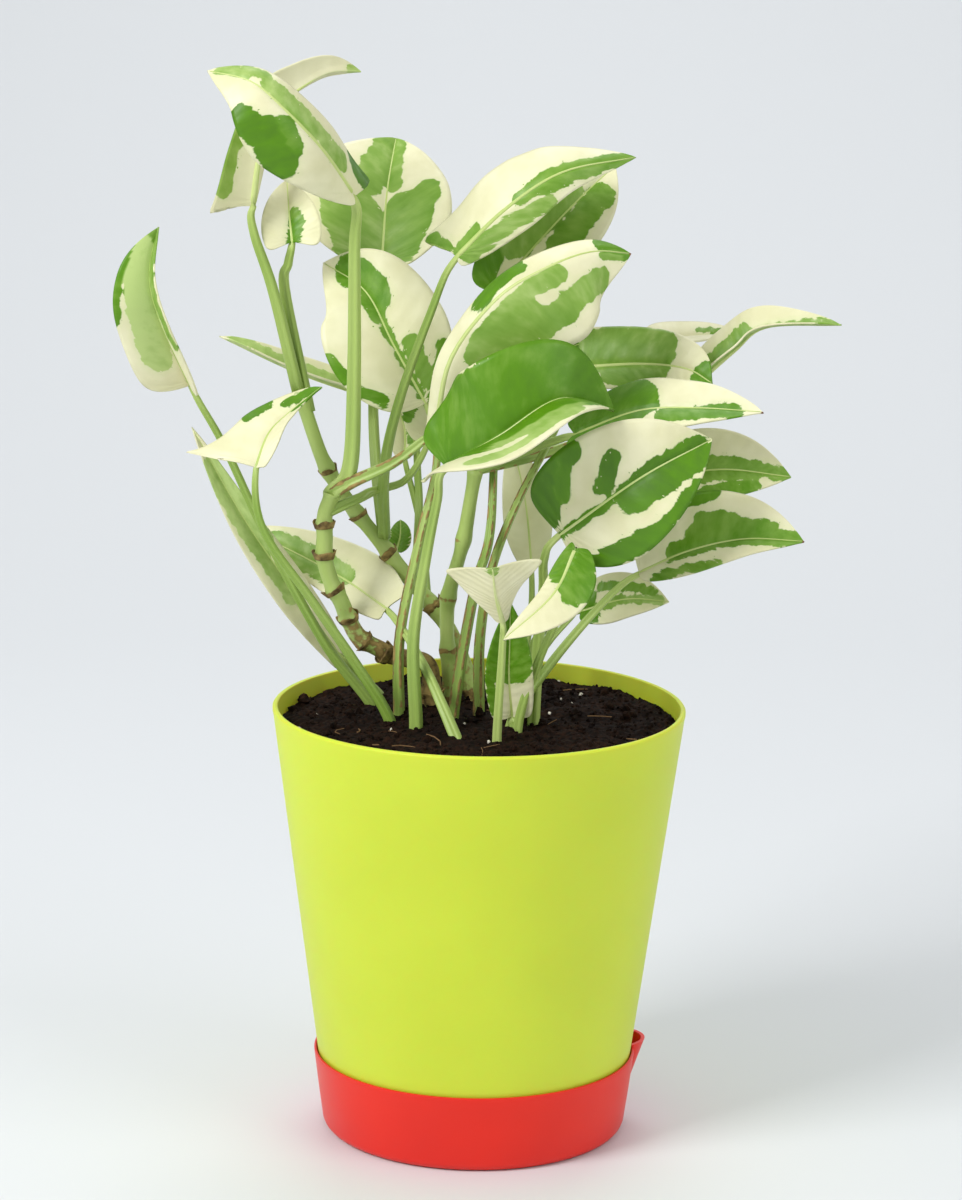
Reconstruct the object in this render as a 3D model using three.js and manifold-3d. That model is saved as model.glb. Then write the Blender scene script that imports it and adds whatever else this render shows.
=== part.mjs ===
// Potted trailing houseplant: a tapered plastic pot pushed into a deep round saucer with a filling
// lip, potting soil, three creeping stems, and thirty heart-shaped variegated leaves. Each leaf is
// one piece with its stalk. Millimetres, +Z up, the saucer stands on z = 0, its centre is the origin.
import * as THREE from 'three';
import { mergeVertices } from 'three/addons/utils/BufferGeometryUtils.js';
import Module from 'manifold-3d';

const PLASTIC_ROUGHNESS = 0.35;

const wasm = await Module();
wasm.setup();

// Pot: a straight-sided cone frustum that stands on short feet inside the saucer.
const RIM_RADIUS = 57;
const RIM_HEIGHT = 120.7;
const POT_BASE_RADIUS = 42.3;
const POT_BASE_HEIGHT = 10;
const POT_WALL = 1.6;
const POT_FLOOR = 2;
const FOOT_COUNT = 4;
const FOOT_RADIUS = 4;
const FOOT_CIRCLE = 30;
const DRAIN_COUNT = 6;
const DRAIN_RADIUS = 3.5;
const DRAIN_CIRCLE = 17;

// Saucer: grips the lowest part of the pot; its lip lets water be poured in behind the pot's wall.
const SAUCER_TOP_RADIUS = 45;
const SAUCER_HEIGHT = 22.2;
const SAUCER_BASE_RADIUS = 42.2;
const SAUCER_EDGE = 2;
const SAUCER_FLOOR = 1.6;
const LIP_ANGLE = 10;
const LIP_CENTRE = 40;
const LIP_RADIUS = 8.8;
const LIP_WALL = 1;
const LIP_FOOT = 3;
const LIP_TOP = 23;
const LIP_BOTTOM = 6;

// Soil fills the pot to just under the rim and mounds up a little in the middle.
const SOIL_EDGE_HEIGHT = 115.8;
const SOIL_MIDDLE_HEIGHT = 118.2;
const SOIL_RIPPLE = 0.7;

// Leaves: a thin blade, widest a third of the way up, with two round lobes beside the stalk.
const GAP = 0.3;
const BLADE_THICKNESS = 0.7;
const WIDEST_AT = 0.36;
const BASE_WIDTH = [0.4, 0.4];
const LOBE_REACH = [0.06, 0.06];
const TIP_WIDTH = 0.04;
const TIP_ROUNDNESS = 0.8;
const TIP_FULLNESS = 0.75;
const LONG_BLADE = 40;
const LONG_BLADE_STEPS = 7;
const SHORT_BLADE_STEPS = 5;
const STALK_THICK = 1.7;
const STALK_TAPER = 0.62;
const STALK_SIDES = 5;

// Stems swell a little at every joint and thin towards the growing end.
const STEM_SWELL = 0.16;
const STEM_TAPER = 0.15;
const STEM_SIDES = 8;

const ROUND_SIDES = 40;
const SIDE_CHECKS = [0, 0.1, 0.2, 0.3, 0.4, 0.5, 0.6, 0.7, 0.8, 0.9, 1];
const STRAIGHT_AHEAD = 0.75;

const matte = (color, roughness) => new THREE.MeshStandardMaterial({ color, roughness });
const plastic = (color) => matte(color, PLASTIC_ROUGHNESS);
const potMaterial = plastic(0xcbdb4e);
const saucerMaterial = plastic(0xe5302a);
const soilMaterial = matte(0x2a1a14, 1);
const stemMaterial = matte(0x8a9a4c, 0.55);
const leafMaterial = matte(0xb9cc86, 0.45);

const vectors = (points) => points.map((point) => new THREE.Vector3(...point));
const curveThrough = (points) => new THREE.CatmullRomCurve3(vectors(points), false, 'catmullrom', 0.5);
const ring = (count, radius, make) => Array.from({ length: count }, (_, i) => {
  const angle = (2 * Math.PI * (i + 0.5)) / count;
  return make(radius * Math.cos(angle), radius * Math.sin(angle));
});

function toSolid(geometry) {
  const bare = geometry.clone();
  bare.deleteAttribute('normal');
  bare.deleteAttribute('uv');
  const merged = mergeVertices(bare, 1e-4);
  return new wasm.Manifold(new wasm.Mesh({
    numProp: 3,
    vertProperties: new Float32Array(merged.attributes.position.array),
    triVerts: new Uint32Array(merged.index.array),
  }));
}

function toMesh(name, solid, material) {
  const { vertProperties, triVerts } = solid.getMesh();
  const geometry = new THREE.BufferGeometry();
  geometry.setAttribute('position', new THREE.BufferAttribute(new Float32Array(vertProperties), 3));
  geometry.setIndex(new THREE.BufferAttribute(new Uint32Array(triVerts), 1));
  geometry.computeVertexNormals();
  const mesh = new THREE.Mesh(geometry, material);
  mesh.name = name;
  return mesh;
}

function lathe(profile, sides = ROUND_SIDES) {
  const geometry = new THREE.LatheGeometry(profile.map(([r, z]) => new THREE.Vector2(r, z)), sides);
  return toSolid(geometry.rotateX(Math.PI / 2));
}

function post(x, y, bottom, top, radius, topRadius = radius, sides = 12) {
  const geometry = new THREE.CylinderGeometry(topRadius, radius, top - bottom, sides);
  return toSolid(geometry.rotateX(Math.PI / 2).translate(x, y, (top + bottom) / 2));
}

const potRadius = (z) => POT_BASE_RADIUS
  + ((RIM_RADIUS - POT_BASE_RADIUS) * (z - POT_BASE_HEIGHT)) / (RIM_HEIGHT - POT_BASE_HEIGHT);

function makePot() {
  const floorTop = POT_BASE_HEIGHT + POT_FLOOR;
  const shell = lathe([
    [0, POT_BASE_HEIGHT],
    [POT_BASE_RADIUS - 1, POT_BASE_HEIGHT],
    [POT_BASE_RADIUS, POT_BASE_HEIGHT + 1],
    [RIM_RADIUS - 0.3, RIM_HEIGHT - 2.5],
    [RIM_RADIUS, RIM_HEIGHT - 0.5],
    [RIM_RADIUS - 0.5, RIM_HEIGHT],
    [RIM_RADIUS - POT_WALL + 0.4, RIM_HEIGHT],
    [RIM_RADIUS - POT_WALL, RIM_HEIGHT - 0.5],
    [potRadius(floorTop) - POT_WALL, floorTop],
    [0, floorTop],
  ]);
  const footBottom = SAUCER_FLOOR + GAP;
  const foot = (x, y) => post(x, y, footBottom, POT_BASE_HEIGHT + 1, FOOT_RADIUS);
  const drain = (x, y) => post(x, y, 0, floorTop + 1, DRAIN_RADIUS);
  const feet = ring(FOOT_COUNT, FOOT_CIRCLE, foot);
  const drains = ring(DRAIN_COUNT, DRAIN_CIRCLE, drain);
  const standing = feet.reduce((body, one) => body.add(one), shell);
  return drains.reduce((body, one) => body.subtract(one), standing);
}

function makeSaucer() {
  const innerTop = potRadius(SAUCER_HEIGHT) + GAP;
  const innerBase = potRadius(POT_BASE_HEIGHT) + GAP;
  const cup = lathe([
    [0, 0],
    [SAUCER_BASE_RADIUS - SAUCER_EDGE, 0],
    [SAUCER_BASE_RADIUS - SAUCER_EDGE / 3, SAUCER_EDGE / 3],
    [SAUCER_BASE_RADIUS + 0.2, SAUCER_EDGE],
    [SAUCER_TOP_RADIUS, SAUCER_HEIGHT - 0.3],
    [SAUCER_TOP_RADIUS - 0.3, SAUCER_HEIGHT],
    [0, SAUCER_HEIGHT],
  ]);
  const hollow = lathe([
    [0, SAUCER_FLOOR],
    [innerBase - 2.5, SAUCER_FLOOR],
    [innerBase - 1, SAUCER_FLOOR + 1.5],
    [innerBase, POT_BASE_HEIGHT],
    [innerTop, SAUCER_HEIGHT],
    [potRadius(LIP_TOP + 1) + GAP, LIP_TOP + 1],
    [0, LIP_TOP + 1],
  ]);
  const angle = THREE.MathUtils.degToRad(LIP_ANGLE);
  const x = LIP_CENTRE * Math.cos(angle);
  const y = LIP_CENTRE * Math.sin(angle);
  const lip = post(x, y, LIP_BOTTOM, LIP_TOP, LIP_FOOT, LIP_RADIUS, 24);
  const mouth = post(x, y, LIP_BOTTOM + 2, LIP_TOP + 0.1, LIP_FOOT - LIP_WALL, LIP_RADIUS - LIP_WALL, 24);
  return cup.add(lip).subtract(mouth).subtract(hollow);
}

function makeSoil(roots) {
  const bottom = POT_BASE_HEIGHT + POT_FLOOR + GAP;
  const reach = (z) => potRadius(z) - POT_WALL - GAP;
  const edge = reach(SOIL_EDGE_HEIGHT);
  const mound = SOIL_MIDDLE_HEIGHT - SOIL_EDGE_HEIGHT;
  const profile = [[0, bottom], [reach(bottom), bottom], [edge, SOIL_EDGE_HEIGHT]];
  for (const part of [0.86, 0.68, 0.5, 0.32, 0.14]) {
    profile.push([edge * part, SOIL_EDGE_HEIGHT + mound * (1 - part ** 2)]);
  }
  profile.push([0, SOIL_MIDDLE_HEIGHT]);
  const geometry = new THREE.LatheGeometry(profile.map(([r, z]) => new THREE.Vector2(r, z)), ROUND_SIDES);
  geometry.rotateX(Math.PI / 2);
  const position = geometry.attributes.position;
  for (let i = 0; i < position.count; i += 1) {
    const [x, y, z] = [position.getX(i), position.getY(i), position.getZ(i)];
    const ripple = Math.sin(x * 0.31 + y * 0.12) * Math.cos(y * 0.37 - x * 0.09);
    if (z > SOIL_EDGE_HEIGHT + 0.1) position.setZ(i, z + SOIL_RIPPLE * ripple);
  }
  return roots.reduce((body, root) => body.subtract(root), toSolid(geometry));
}

// The local frame at one place on a curve: ahead, up (nearest to the wanted direction) and left.
function frameOn(curve, u, towards) {
  const ahead = curve.getTangent(THREE.MathUtils.clamp(u, 0, 1)).normalize();
  const point = curve.getPoint(THREE.MathUtils.clamp(u, 0, 1));
  if (u < 0) point.addScaledVector(ahead, u * curve.getLength());
  const up = towards.clone().addScaledVector(ahead, -towards.dot(ahead)).normalize();
  const left = new THREE.Vector3().crossVectors(up, ahead);
  return { point, ahead, up, left };
}

// A direction that the curve never runs along: the front, or the side for one that runs to the front.
function sideOf(curve) {
  const front = new THREE.Vector3(0, -1, 0);
  const steepest = Math.max(...SIDE_CHECKS.map((u) => Math.abs(curve.getTangent(u).dot(front))));
  return steepest < STRAIGHT_AHEAD ? front : new THREE.Vector3(1, 0, 0);
}

// A round stalk along a curve; radiusAt gives its radius at each part of the way.
function makeStalk(curve, radiusAt, sides, steps) {
  const geometry = new THREE.CylinderGeometry(1, 1, 1, sides, steps);
  const position = geometry.attributes.position;
  const towards = sideOf(curve);
  for (let i = 0; i < position.count; i += 1) {
    const u = position.getY(i) + 0.5;
    const { point, up, left } = frameOn(curve, u, towards);
    point.addScaledVector(up, position.getZ(i) * radiusAt(u));
    point.addScaledVector(left, -position.getX(i) * radiusAt(u));
    position.setXYZ(i, point.x, point.y, point.z);
  }
  return toSolid(geometry);
}

// Half the width of the blade, as a part of its greatest, from the base (0) to the tip (1).
function outline(t, base, widest, flare) {
  if (t < widest && flare) return base + (1 - base) * (t / widest) ** flare;
  if (t < widest) return 1 - (1 - base) * ((widest - t) / widest) ** 2;
  const rest = (t - widest) / (1 - widest);
  return Math.max(TIP_WIDTH, (1 - rest) ** TIP_ROUNDNESS * (1 + TIP_FULLNESS * rest));
}

// Both skins of a blade are split along the same diagonals, so a warped cell keeps its thickness.
function matchSkins(geometry) {
  const index = geometry.index.array;
  const { start, count } = geometry.groups[5];
  for (let i = start; i < start + count; i += 6) {
    const [a, b, d, , c] = index.slice(i, i + 6);
    index.set([a, b, c, a, c, d], i);
  }
}

// A blade bends along its midrib, and each half folds up or down from it by its own angle. Where the
// base flares, the blade opens from the stalk like a funnel.
function makeBlade({ rib, halves, face, fold, ...shape }) {
  const { base = BASE_WIDTH, lobe = LOBE_REACH, widest = WIDEST_AT, flare } = shape;
  const curve = curveThrough(rib);
  const towards = new THREE.Vector3(...face);
  const steps = curve.getLength() > LONG_BLADE ? LONG_BLADE_STEPS : SHORT_BLADE_STEPS;
  const geometry = new THREE.BoxGeometry(1, 1, 1, steps, 4, 1);
  matchSkins(geometry);
  const position = geometry.attributes.position;
  for (let i = 0; i < position.count; i += 1) {
    const t = position.getX(i) + 0.5;
    const s = 2 * position.getY(i);
    const away = Math.abs(s);
    const side = s > 0 ? 0 : 1;
    const u = t - lobe[side] * away ** 1.5 * (1 - t) ** 3;
    const reach = halves[side] * away * outline(t, base[side], widest, flare);
    const bend = THREE.MathUtils.degToRad(fold[side]);
    const { point, up, left } = frameOn(curve, u, towards);
    point.addScaledVector(left, Math.sign(s) * reach * Math.cos(bend));
    point.addScaledVector(up, reach * Math.sin(bend) + position.getZ(i) * BLADE_THICKNESS);
    position.setXYZ(i, point.x, point.y, point.z);
  }
  return toSolid(geometry);
}

const stalkOf = (leaf) => curveThrough([...leaf.stalk, leaf.rib[0], leaf.rib[1]]);

function leafStalk(leaf, extra = 0) {
  const thick = leaf.thick ?? STALK_THICK;
  const radiusAt = (u) => thick * (1 - STALK_TAPER * u) + extra;
  return makeStalk(stalkOf(leaf), radiusAt, STALK_SIDES, leaf.stalk.length + 3);
}

// Creeping stems: swollen where leaves and roots grow.
function vineStalk(vine, extra = 0) {
  const swell = (u) => 1 + STEM_SWELL * Math.cos(2 * Math.PI * vine.nodes * u);
  const radiusAt = (u) => vine.thick * swell(u) * (1 - STEM_TAPER * u) + extra;
  return makeStalk(curveThrough(vine.path), radiusAt, STEM_SIDES, vine.nodes * 4);
}

// Creeping stems: the points each one passes through, its radius, and how many joints it has.
const VINES = {
  vine_left: {
    path: [[-13, 8, 103], [-13, 8, 115], [-14, 8, 129], [-19, 6, 132], [-25, 6, 133], [-28, 5, 135],
      [-33, 4, 138], [-36, 3, 143], [-38, 2, 148], [-41, 2, 154], [-43, 2, 161], [-43, 2, 167],
      [-43, 2, 173], [-41, 2, 179]],
    thick: 2.7, nodes: 9,
  },
  vine_back: {
    path: [[-1, 16, 103], [-1, 16, 117], [-9, 19, 138], [-22, 20, 154], [-29, 20, 163],
      [-37, 20, 173], [-44, 18, 185], [-51, 16, 205]],
    thick: 2.4, nodes: 6,
  },
  vine_middle: {
    path: [[-8, 14, 103], [-8, 14, 119], [-9, 14, 133], [-9, 13, 148], [-5, 10, 165], [-2, 9, 185]],
    thick: 2.3, nodes: 5,
  },
};

// Leaves: the points of the stalk and of the midrib, the width of the upper and the lower half, the
// way the blade faces, and how far each half is folded.
const LEAVES = [
  // The topmost leaf, arching over to the left with its tip drawn out.
  { stalk: [[-41, 2, 179], [-36, 1, 187], [-35, -3, 214], [-35, -8, 247]], thick: 2.4,
    rib: [[-35, -10, 262], [-43, -20, 275], [-53, -24, 286], [-62, -22, 293], [-74, -14, 295]],
    halves: [15, 8.5], face: [0.45, -0.75, 0.5], fold: [-30, -12], base: [0.05, 1.2], lobe: [0.06, 0.1],
    widest: 0.42 },
  // A pale leaf behind the top, seen from its edge.
  { stalk: [[-51, 16, 205], [-58, 15, 233], [-63, 14, 248]],
    rib: [[-64, 14, 256], [-62, 12, 270], [-58, 14, 282], [-51, 18, 288], [-43, 22, 292], [-35, 26, 292]],
    halves: [9, 8], face: [-0.6, 0.6, 0.5], fold: [30, 30], base: [0.4, 1.4] },
  // A small young leaf high on the left, half open.
  { stalk: [[-48, 17, 199], [-55, 20, 232], [-54, 18, 240]],
    rib: [[-53, 17, 246], [-54, 21, 253], [-55, 27, 262]],
    halves: [8.5, 9], face: [0, -0.9, 0.3], fold: [15, 15], base: [0.9, 0.9], lobe: [0.25, 0.25] },
  // The broad upright leaf at the back.
  { stalk: [[-27, 20, 163], [-30, 31, 184], [-31, 42, 203], [-29, 41, 223]],
    rib: [[-29, 36, 237], [-28, 48, 256], [-26, 64, 270]],
    halves: [25, 19], face: [0, -0.9, 0.35], fold: [10, 10], lobe: [0, 0] },
  // The large pale leaf in the middle at the back.
  { stalk: [[-22, 0, 103], [-22, 0, 118], [-22, 0, 140], [-17, 3, 166], [-13, 9, 183], [-13, 13, 193]],
    rib: [[-16, 16, 202], [-25, 17, 218], [-33, 22, 232], [-45, 28, 239]],
    halves: [19, 17], face: [0, -0.9, 0.3], fold: [10, 10], lobe: [0, 0] },
  // The long leaf at the top right.
  { stalk: [[-27, 18, 164], [-27, 12, 184], [-23, 8, 204], [-15, 4, 228]],
    rib: [[-8, 0, 245], [5, -8, 259], [20, -8, 269], [40, 4, 272]],
    halves: [16, 8], face: [-0.3, -0.8, 0.5], fold: [-20, -40], base: [1, 0.4], lobe: [0.2, 0.03] },
  // The leaf behind it.
  { stalk: [[-7, -8, 103], [-7, -8, 120], [-2, -3, 152], [2, 4, 166], [3, 12, 181], [3, 18, 203]],
    rib: [[2, 16, 233], [22, 14, 256], [35, 20, 268]],
    halves: [14, 14], face: [-0.1, -0.9, 0.3], fold: [10, 10] },
  // The leaf below it, with its upper half folded down.
  { stalk: [[-41, 2, 179], [-35, 0, 183], [-25, -1, 188], [-17, -1, 194]], thick: 2,
    rib: [[-13, -2, 199], [-9, -10, 219], [3, -16, 236], [16, -13, 244], [28, -9, 248], [39, -4, 247]],
    halves: [7, 22], face: [-0.3, -0.7, 0.5], fold: [-20, -40], base: [0.5, 0.45], widest: 0.6 },
  // The big green leaf at the middle front.
  { stalk: [[-17, -15, 103], [-17, -15, 119], [-18, -14, 142], [-15, -14, 164], [-12, -16, 181]], thick: 2,
    rib: [[-10, -18, 191], [4, -28, 201], [20, -26, 211], [35, -14, 206]],
    halves: [20, 18], face: [0, -0.6, 0.8], fold: [40, 25], lobe: [0.02, 0.02] },
  // A leaf hidden behind the middle.
  { stalk: [[-2, 9, 185], [1, 20, 194]], thick: 1.3,
    rib: [[4, 28, 201], [15, 31, 213], [29, 34, 217]],
    halves: [12, 11], face: [0, -0.8, 0.6], fold: [10, 10] },
  // The leaf on the right whose near half turns down.
  { stalk: [[0, 0, 103], [0, 0, 119], [0, 2, 139], [3, 6, 158], [10, 12, 176], [20, 18, 195]],
    rib: [[27, 22, 212], [43, 16, 214], [55, 9, 214], [62, 3, 211]],
    halves: [11, 7], face: [0, -0.8, 0.6], fold: [12, -20], base: [1, 0.5], widest: 0.2 },
  // The narrow leaf that reaches furthest to the right.
  { stalk: [[-2, 9, 185], [21, 25, 188], [44, 25, 197]],
    rib: [[55, 18, 206], [68, 16, 218], [77, 14, 225], [97, 8, 227]],
    halves: [8, 6.5], face: [-0.3, -0.3, 0.9], fold: [30, 30], base: [0.5, 0.5] },
  // A pale leaf behind it that lies nearly flat.
  { stalk: [[-2, 9, 185], [21, 36, 195]], thick: 1.2,
    rib: [[47, 40, 217], [59, 48, 217], [73, 54, 217]],
    halves: [8, 8], face: [0, -0.25, 0.95], fold: [12, 12] },
  // The pointed leaf on the right.
  { stalk: [[-2, 9, 185], [13, 14, 190]],
    rib: [[25, 5, 196], [42, -2, 204], [58, -8, 206], [75, -13, 206]],
    halves: [11, 9.5], face: [0, -0.6, 0.8], fold: [5, 5] },
  // The large broad leaf at the front right.
  { stalk: [[15, -8, 103], [15, -8, 117], [16, -8, 141], [17, -12, 156], [17, -18, 166]], thick: 1.9,
    rib: [[21, -20, 173], [42, -26, 190], [61, -22, 200]],
    halves: [19, 18], face: [0, -1, 0.2], fold: [8, 8], base: [0.75, 0.45],
    lobe: [0.02, 0.02], widest: 0.28 },
  // A leaf behind the broad one.
  { stalk: [[6, 10, 103], [6, 10, 116], [22, 14, 148], [35, 12, 171]],
    rib: [[46, 8, 183], [65, 4, 187], [84, 0, 186]],
    halves: [12, 11], face: [0.1, -0.8, 0.5], fold: [10, 10] },
  // The low leaf that reaches out to the right.
  { stalk: [[9, -10, 103], [9, -10, 118], [19, -8, 134], [33, -6, 151]],
    rib: [[43, -6, 160], [56, -10, 167], [71, -12, 171], [87, -14, 171]],
    halves: [17, 8], face: [0, -0.75, 0.65], fold: [5, 10], lobe: [0, 0] },
  // A small low leaf on the right.
  { stalk: [[13, 8, 103], [13, 8, 118], [17, 9, 133], [25, 11, 143]], thick: 1.1,
    rib: [[28, 12, 145], [40, 10, 149], [52, 8, 149]],
    halves: [8, 7], face: [0, -0.8, 0.6], fold: [10, 10] },
  // A young leaf at the front, still rolled into a funnel.
  { stalk: [[5, -28, 103], [5, -28, 120], [6, -29, 143]], thick: 1.4,
    rib: [[6, -31, 151], [4, -34, 159], [3, -37, 167]],
    halves: [13.5, 14.5], face: [0, -1, 0.2], fold: [-20, -20], base: [0.12, 0.12], lobe: [0, 0],
    widest: 0.86, flare: 1.3 },
  // A leaf at the front right that hangs down to the left.
  { stalk: [[11, -16, 103], [11, -16, 121], [18, -18, 143], [24, -23, 157]], thick: 1.4,
    rib: [[25, -28, 171], [19, -36, 160], [6, -42, 149]],
    halves: [9, 4], face: [0, -0.7, 0.7], fold: [-10, -10] },
  // A narrow upright leaf close to the soil.
  { stalk: [[10, -14, 103], [10, -14, 117]], thick: 2,
    rib: [[9, -14, 121], [8, -16, 132], [8, -18, 143], [8, -20, 154]],
    halves: [7, 7], face: [0, -1, 0.2], fold: [20, 20], base: [0.8, 0.8], lobe: [0, 0] },
  // The tall leaf on the far left, folded along its midrib.
  { stalk: [[-29, 14, 103], [-29, 14, 115], [-43, 14, 134], [-59, 12, 164], [-71, 8, 191]],
    rib: [[-80, 4, 208], [-87, -4, 226], [-90, -6, 239], [-88, -2, 252]],
    halves: [12, 9], face: [-0.2, -0.9, 0.1], fold: [15, 60], base: [1.05, 0.5],
    lobe: [-0.06, 0.06], widest: 0.3 },
  // The leaf on the left that leans towards the middle.
  { stalk: [[-24, -8, 103], [-24, -8, 117], [-34, -8, 134], [-46, -10, 152], [-59, -13, 172]],
    rib: [[-61, -14, 189], [-58, -8, 197], [-53, -4, 202], [-44, 0, 209]],
    halves: [10, 5], face: [0.05, -0.3, 0.95], fold: [0, 20], base: [2.1, 0.6], lobe: [0, 0] },
  // The low pale leaf on the left.
  { stalk: [[-4, -26, 113], [-10, -18, 125], [-16, -8, 135]],
    rib: [[-26, 7, 146], [-41, 24, 152], [-67, 38, 162]],
    halves: [7.5, 11], face: [0, -0.8, 0.6], fold: [8, 8], base: [0.6, 0.6] },
  // A long narrow leaf behind it.
  { stalk: [[-27, 24, 103], [-27, 24, 115], [-33, 24, 122]],
    rib: [[-40, 22, 130], [-53, 19, 149], [-66, 16, 169], [-80, 12, 195]],
    halves: [6.5, 5], face: [0, -0.9, 0.4], fold: [20, 20], base: [0.5, 0.5] },
  // A narrow leaf that reaches out to the left.
  { stalk: [[-18, 20, 151], [-18, 32, 177]], thick: 1.3,
    rib: [[-23, 32, 199], [-51, 34, 207], [-74, 36, 217]],
    halves: [6, 6], face: [0, -0.2, 0.9], fold: [30, 30] },
  // A small leaf behind the stalks.
  { stalk: [[-15, 20, 147], [-17, 30, 164]], thick: 1.2,
    rib: [[-22, 32, 184], [-22, 34, 191], [-24, 38, 197]],
    halves: [4.5, 3.5], face: [0, -0.9, 0.3], fold: [10, 10] },
  // A small pale leaf behind the stalks.
  { stalk: [[10, 18, 103], [10, 18, 115], [14, 24, 139]], thick: 1.3,
    rib: [[14, 26, 156], [12, 28, 173], [8, 34, 189]],
    halves: [7, 7], face: [0, -0.9, 0.3], fold: [10, 10] },
  // The smallest leaf, low at the back.
  { stalk: [[-15, 20, 147], [-20, 28, 150]], thick: 1,
    rib: [[-24, 32, 157], [-23, 34, 161], [-23, 38, 165]],
    halves: [3.5, 3.5], face: [0, -0.8, 0.5], fold: [10, 10] },
  // A pale leaf in the middle at the back.
  { stalk: [[-42, 2, 174], [-34, 6, 177], [-29, 14, 178], [-21, 20, 180]], thick: 1.6,
    rib: [[-15, 26, 190], [-13, 28, 202], [-17, 38, 219]],
    halves: [10, 10], face: [0, -0.9, 0.3], fold: [10, 10] },
];

// Every stalk and stem is cut clear of those made before it, and what is cut loose is dropped.
const biggest = (solid) => solid.decompose().sort((a, b) => b.volume() - a.volume())[0];

const vines = Object.entries(VINES).map(([name, vine]) => [name, vineStalk(vine)]);
const taken = Object.values(VINES).map((vine) => vineStalk(vine, GAP));
const leaves = LEAVES.map((leaf, i) => {
  const whole = leafStalk(leaf).add(makeBlade(leaf));
  const clear = biggest(taken.reduce((body, other) => body.subtract(other), whole));
  taken.push(leafStalk(leaf, GAP));
  return [`leaf_${String(i + 1).padStart(2, '0')}`, clear];
});

const group = new THREE.Group();
group.add(toMesh('saucer', makeSaucer(), saucerMaterial));
group.add(toMesh('pot', makePot(), potMaterial));
group.add(toMesh('soil', makeSoil(taken), soilMaterial));
for (const [name, solid] of vines) group.add(toMesh(name, solid, stemMaterial));
for (const [name, solid] of leaves) group.add(toMesh(name, solid, leafMaterial));

export default group;
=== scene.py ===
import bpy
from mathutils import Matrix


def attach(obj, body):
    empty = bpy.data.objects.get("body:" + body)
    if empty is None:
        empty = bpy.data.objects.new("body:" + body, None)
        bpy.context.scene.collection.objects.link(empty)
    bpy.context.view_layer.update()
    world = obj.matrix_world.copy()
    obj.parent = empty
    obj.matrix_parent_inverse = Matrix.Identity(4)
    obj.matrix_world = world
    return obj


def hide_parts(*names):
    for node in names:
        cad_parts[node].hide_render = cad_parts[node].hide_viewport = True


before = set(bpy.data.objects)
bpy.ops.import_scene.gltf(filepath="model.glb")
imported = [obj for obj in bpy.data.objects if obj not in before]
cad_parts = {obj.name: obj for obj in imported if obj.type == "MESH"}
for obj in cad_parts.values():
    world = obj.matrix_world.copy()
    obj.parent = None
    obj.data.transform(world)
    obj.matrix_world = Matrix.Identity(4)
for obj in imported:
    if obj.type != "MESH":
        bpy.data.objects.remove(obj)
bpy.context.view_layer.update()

import math
import random

import bpy
from mathutils import Vector, noise


# Camera and daylight: the plant stands on a pale table in front of a pale wall, seen from a little
# above and lit by a large soft window on the left and a weaker one on the right.
CAMERA_PLACE = (0.00007, -1.06127, 0.3852)
CAMERA_DOWN = 0.2178
CAMERA_ROLL = 0.0149
PLANT_MIDDLE = (0, 0, 0.15)

bpy.ops.object.select_all(action="DESELECT")
bpy.ops.object.camera_add(location=CAMERA_PLACE)
camera = bpy.context.object
camera.rotation_mode = "ZYX"  # rolled about its own axis first, then tipped
camera.rotation_euler = (math.pi / 2 - CAMERA_DOWN, 0, CAMERA_ROLL)
camera.data.sensor_width = 36
camera.data.lens = 118.9
bpy.context.scene.camera = camera
bpy.context.scene.view_settings.view_transform = "Standard"

for name, place, aim, size, power in (
    ("window_left", (-0.85, -0.7, 0.95), PLANT_MIDDLE, 0.5, 13.5),
    ("window_right", (1.1, -0.8, 0.9), PLANT_MIDDLE, 0.9, 6.5),
    ("wall_glow", (0.1, 0.9, 1.3), (0, 0.1, 0.1), 0.9, 7.0),
):
    bpy.ops.object.light_add(type="AREA", location=place)
    light = bpy.context.object
    light.name = name
    light.data.size = size
    light.data.energy = power
    light.rotation_euler = (Vector(aim) - Vector(place)).to_track_quat("-Z", "Y").to_euler()

world = bpy.data.worlds.new("daylight")
bpy.context.scene.world = world
world.use_nodes = True
sky = world.node_tree.nodes["Background"]
sky.inputs["Color"].default_value = (0.90, 0.915, 0.92, 1)
sky.inputs["Strength"].default_value = 0.62


# Table and wall: one wide sheet of pale matt paper, laid flat under the plant and swept up behind
# it in a wide curve. It is only a backdrop and isn't part of the plant.
BEND_R = 1.2

bpy.ops.object.select_all(action="DESELECT")
bpy.ops.mesh.primitive_plane_add(size=6, location=(0, -1.2, 0))
sweep = bpy.context.object
sweep.name = "floor"
bpy.ops.object.mode_set(mode="EDIT")
bpy.ops.mesh.select_mode(type="EDGE")
bpy.ops.mesh.select_all(action="DESELECT")
bpy.ops.object.mode_set(mode="OBJECT")
for edge in sweep.data.edges:
    edge.select = all(sweep.data.vertices[i].co.y > 2.9 for i in edge.vertices)
bpy.ops.object.mode_set(mode="EDIT")
bpy.ops.mesh.extrude_region_move(TRANSFORM_OT_translate={"value": (0, 0, 3)})
bpy.ops.object.mode_set(mode="OBJECT")
bpy.ops.object.transform_apply(location=True)
curve_back = sweep.modifiers.new("curve", "BEVEL")
curve_back.width = BEND_R
curve_back.segments = 24
bpy.ops.object.modifier_apply(modifier="curve")
bpy.ops.object.shade_smooth()
paper = bpy.data.materials.new("pale_backdrop")
paper.use_nodes = True
matt = paper.node_tree.nodes["Principled BSDF"]
matt.inputs["Base Color"].default_value = (0.675, 0.695, 0.715, 1)
matt.inputs["Roughness"].default_value = 0.7
sweep.data.materials.append(paper)


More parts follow.
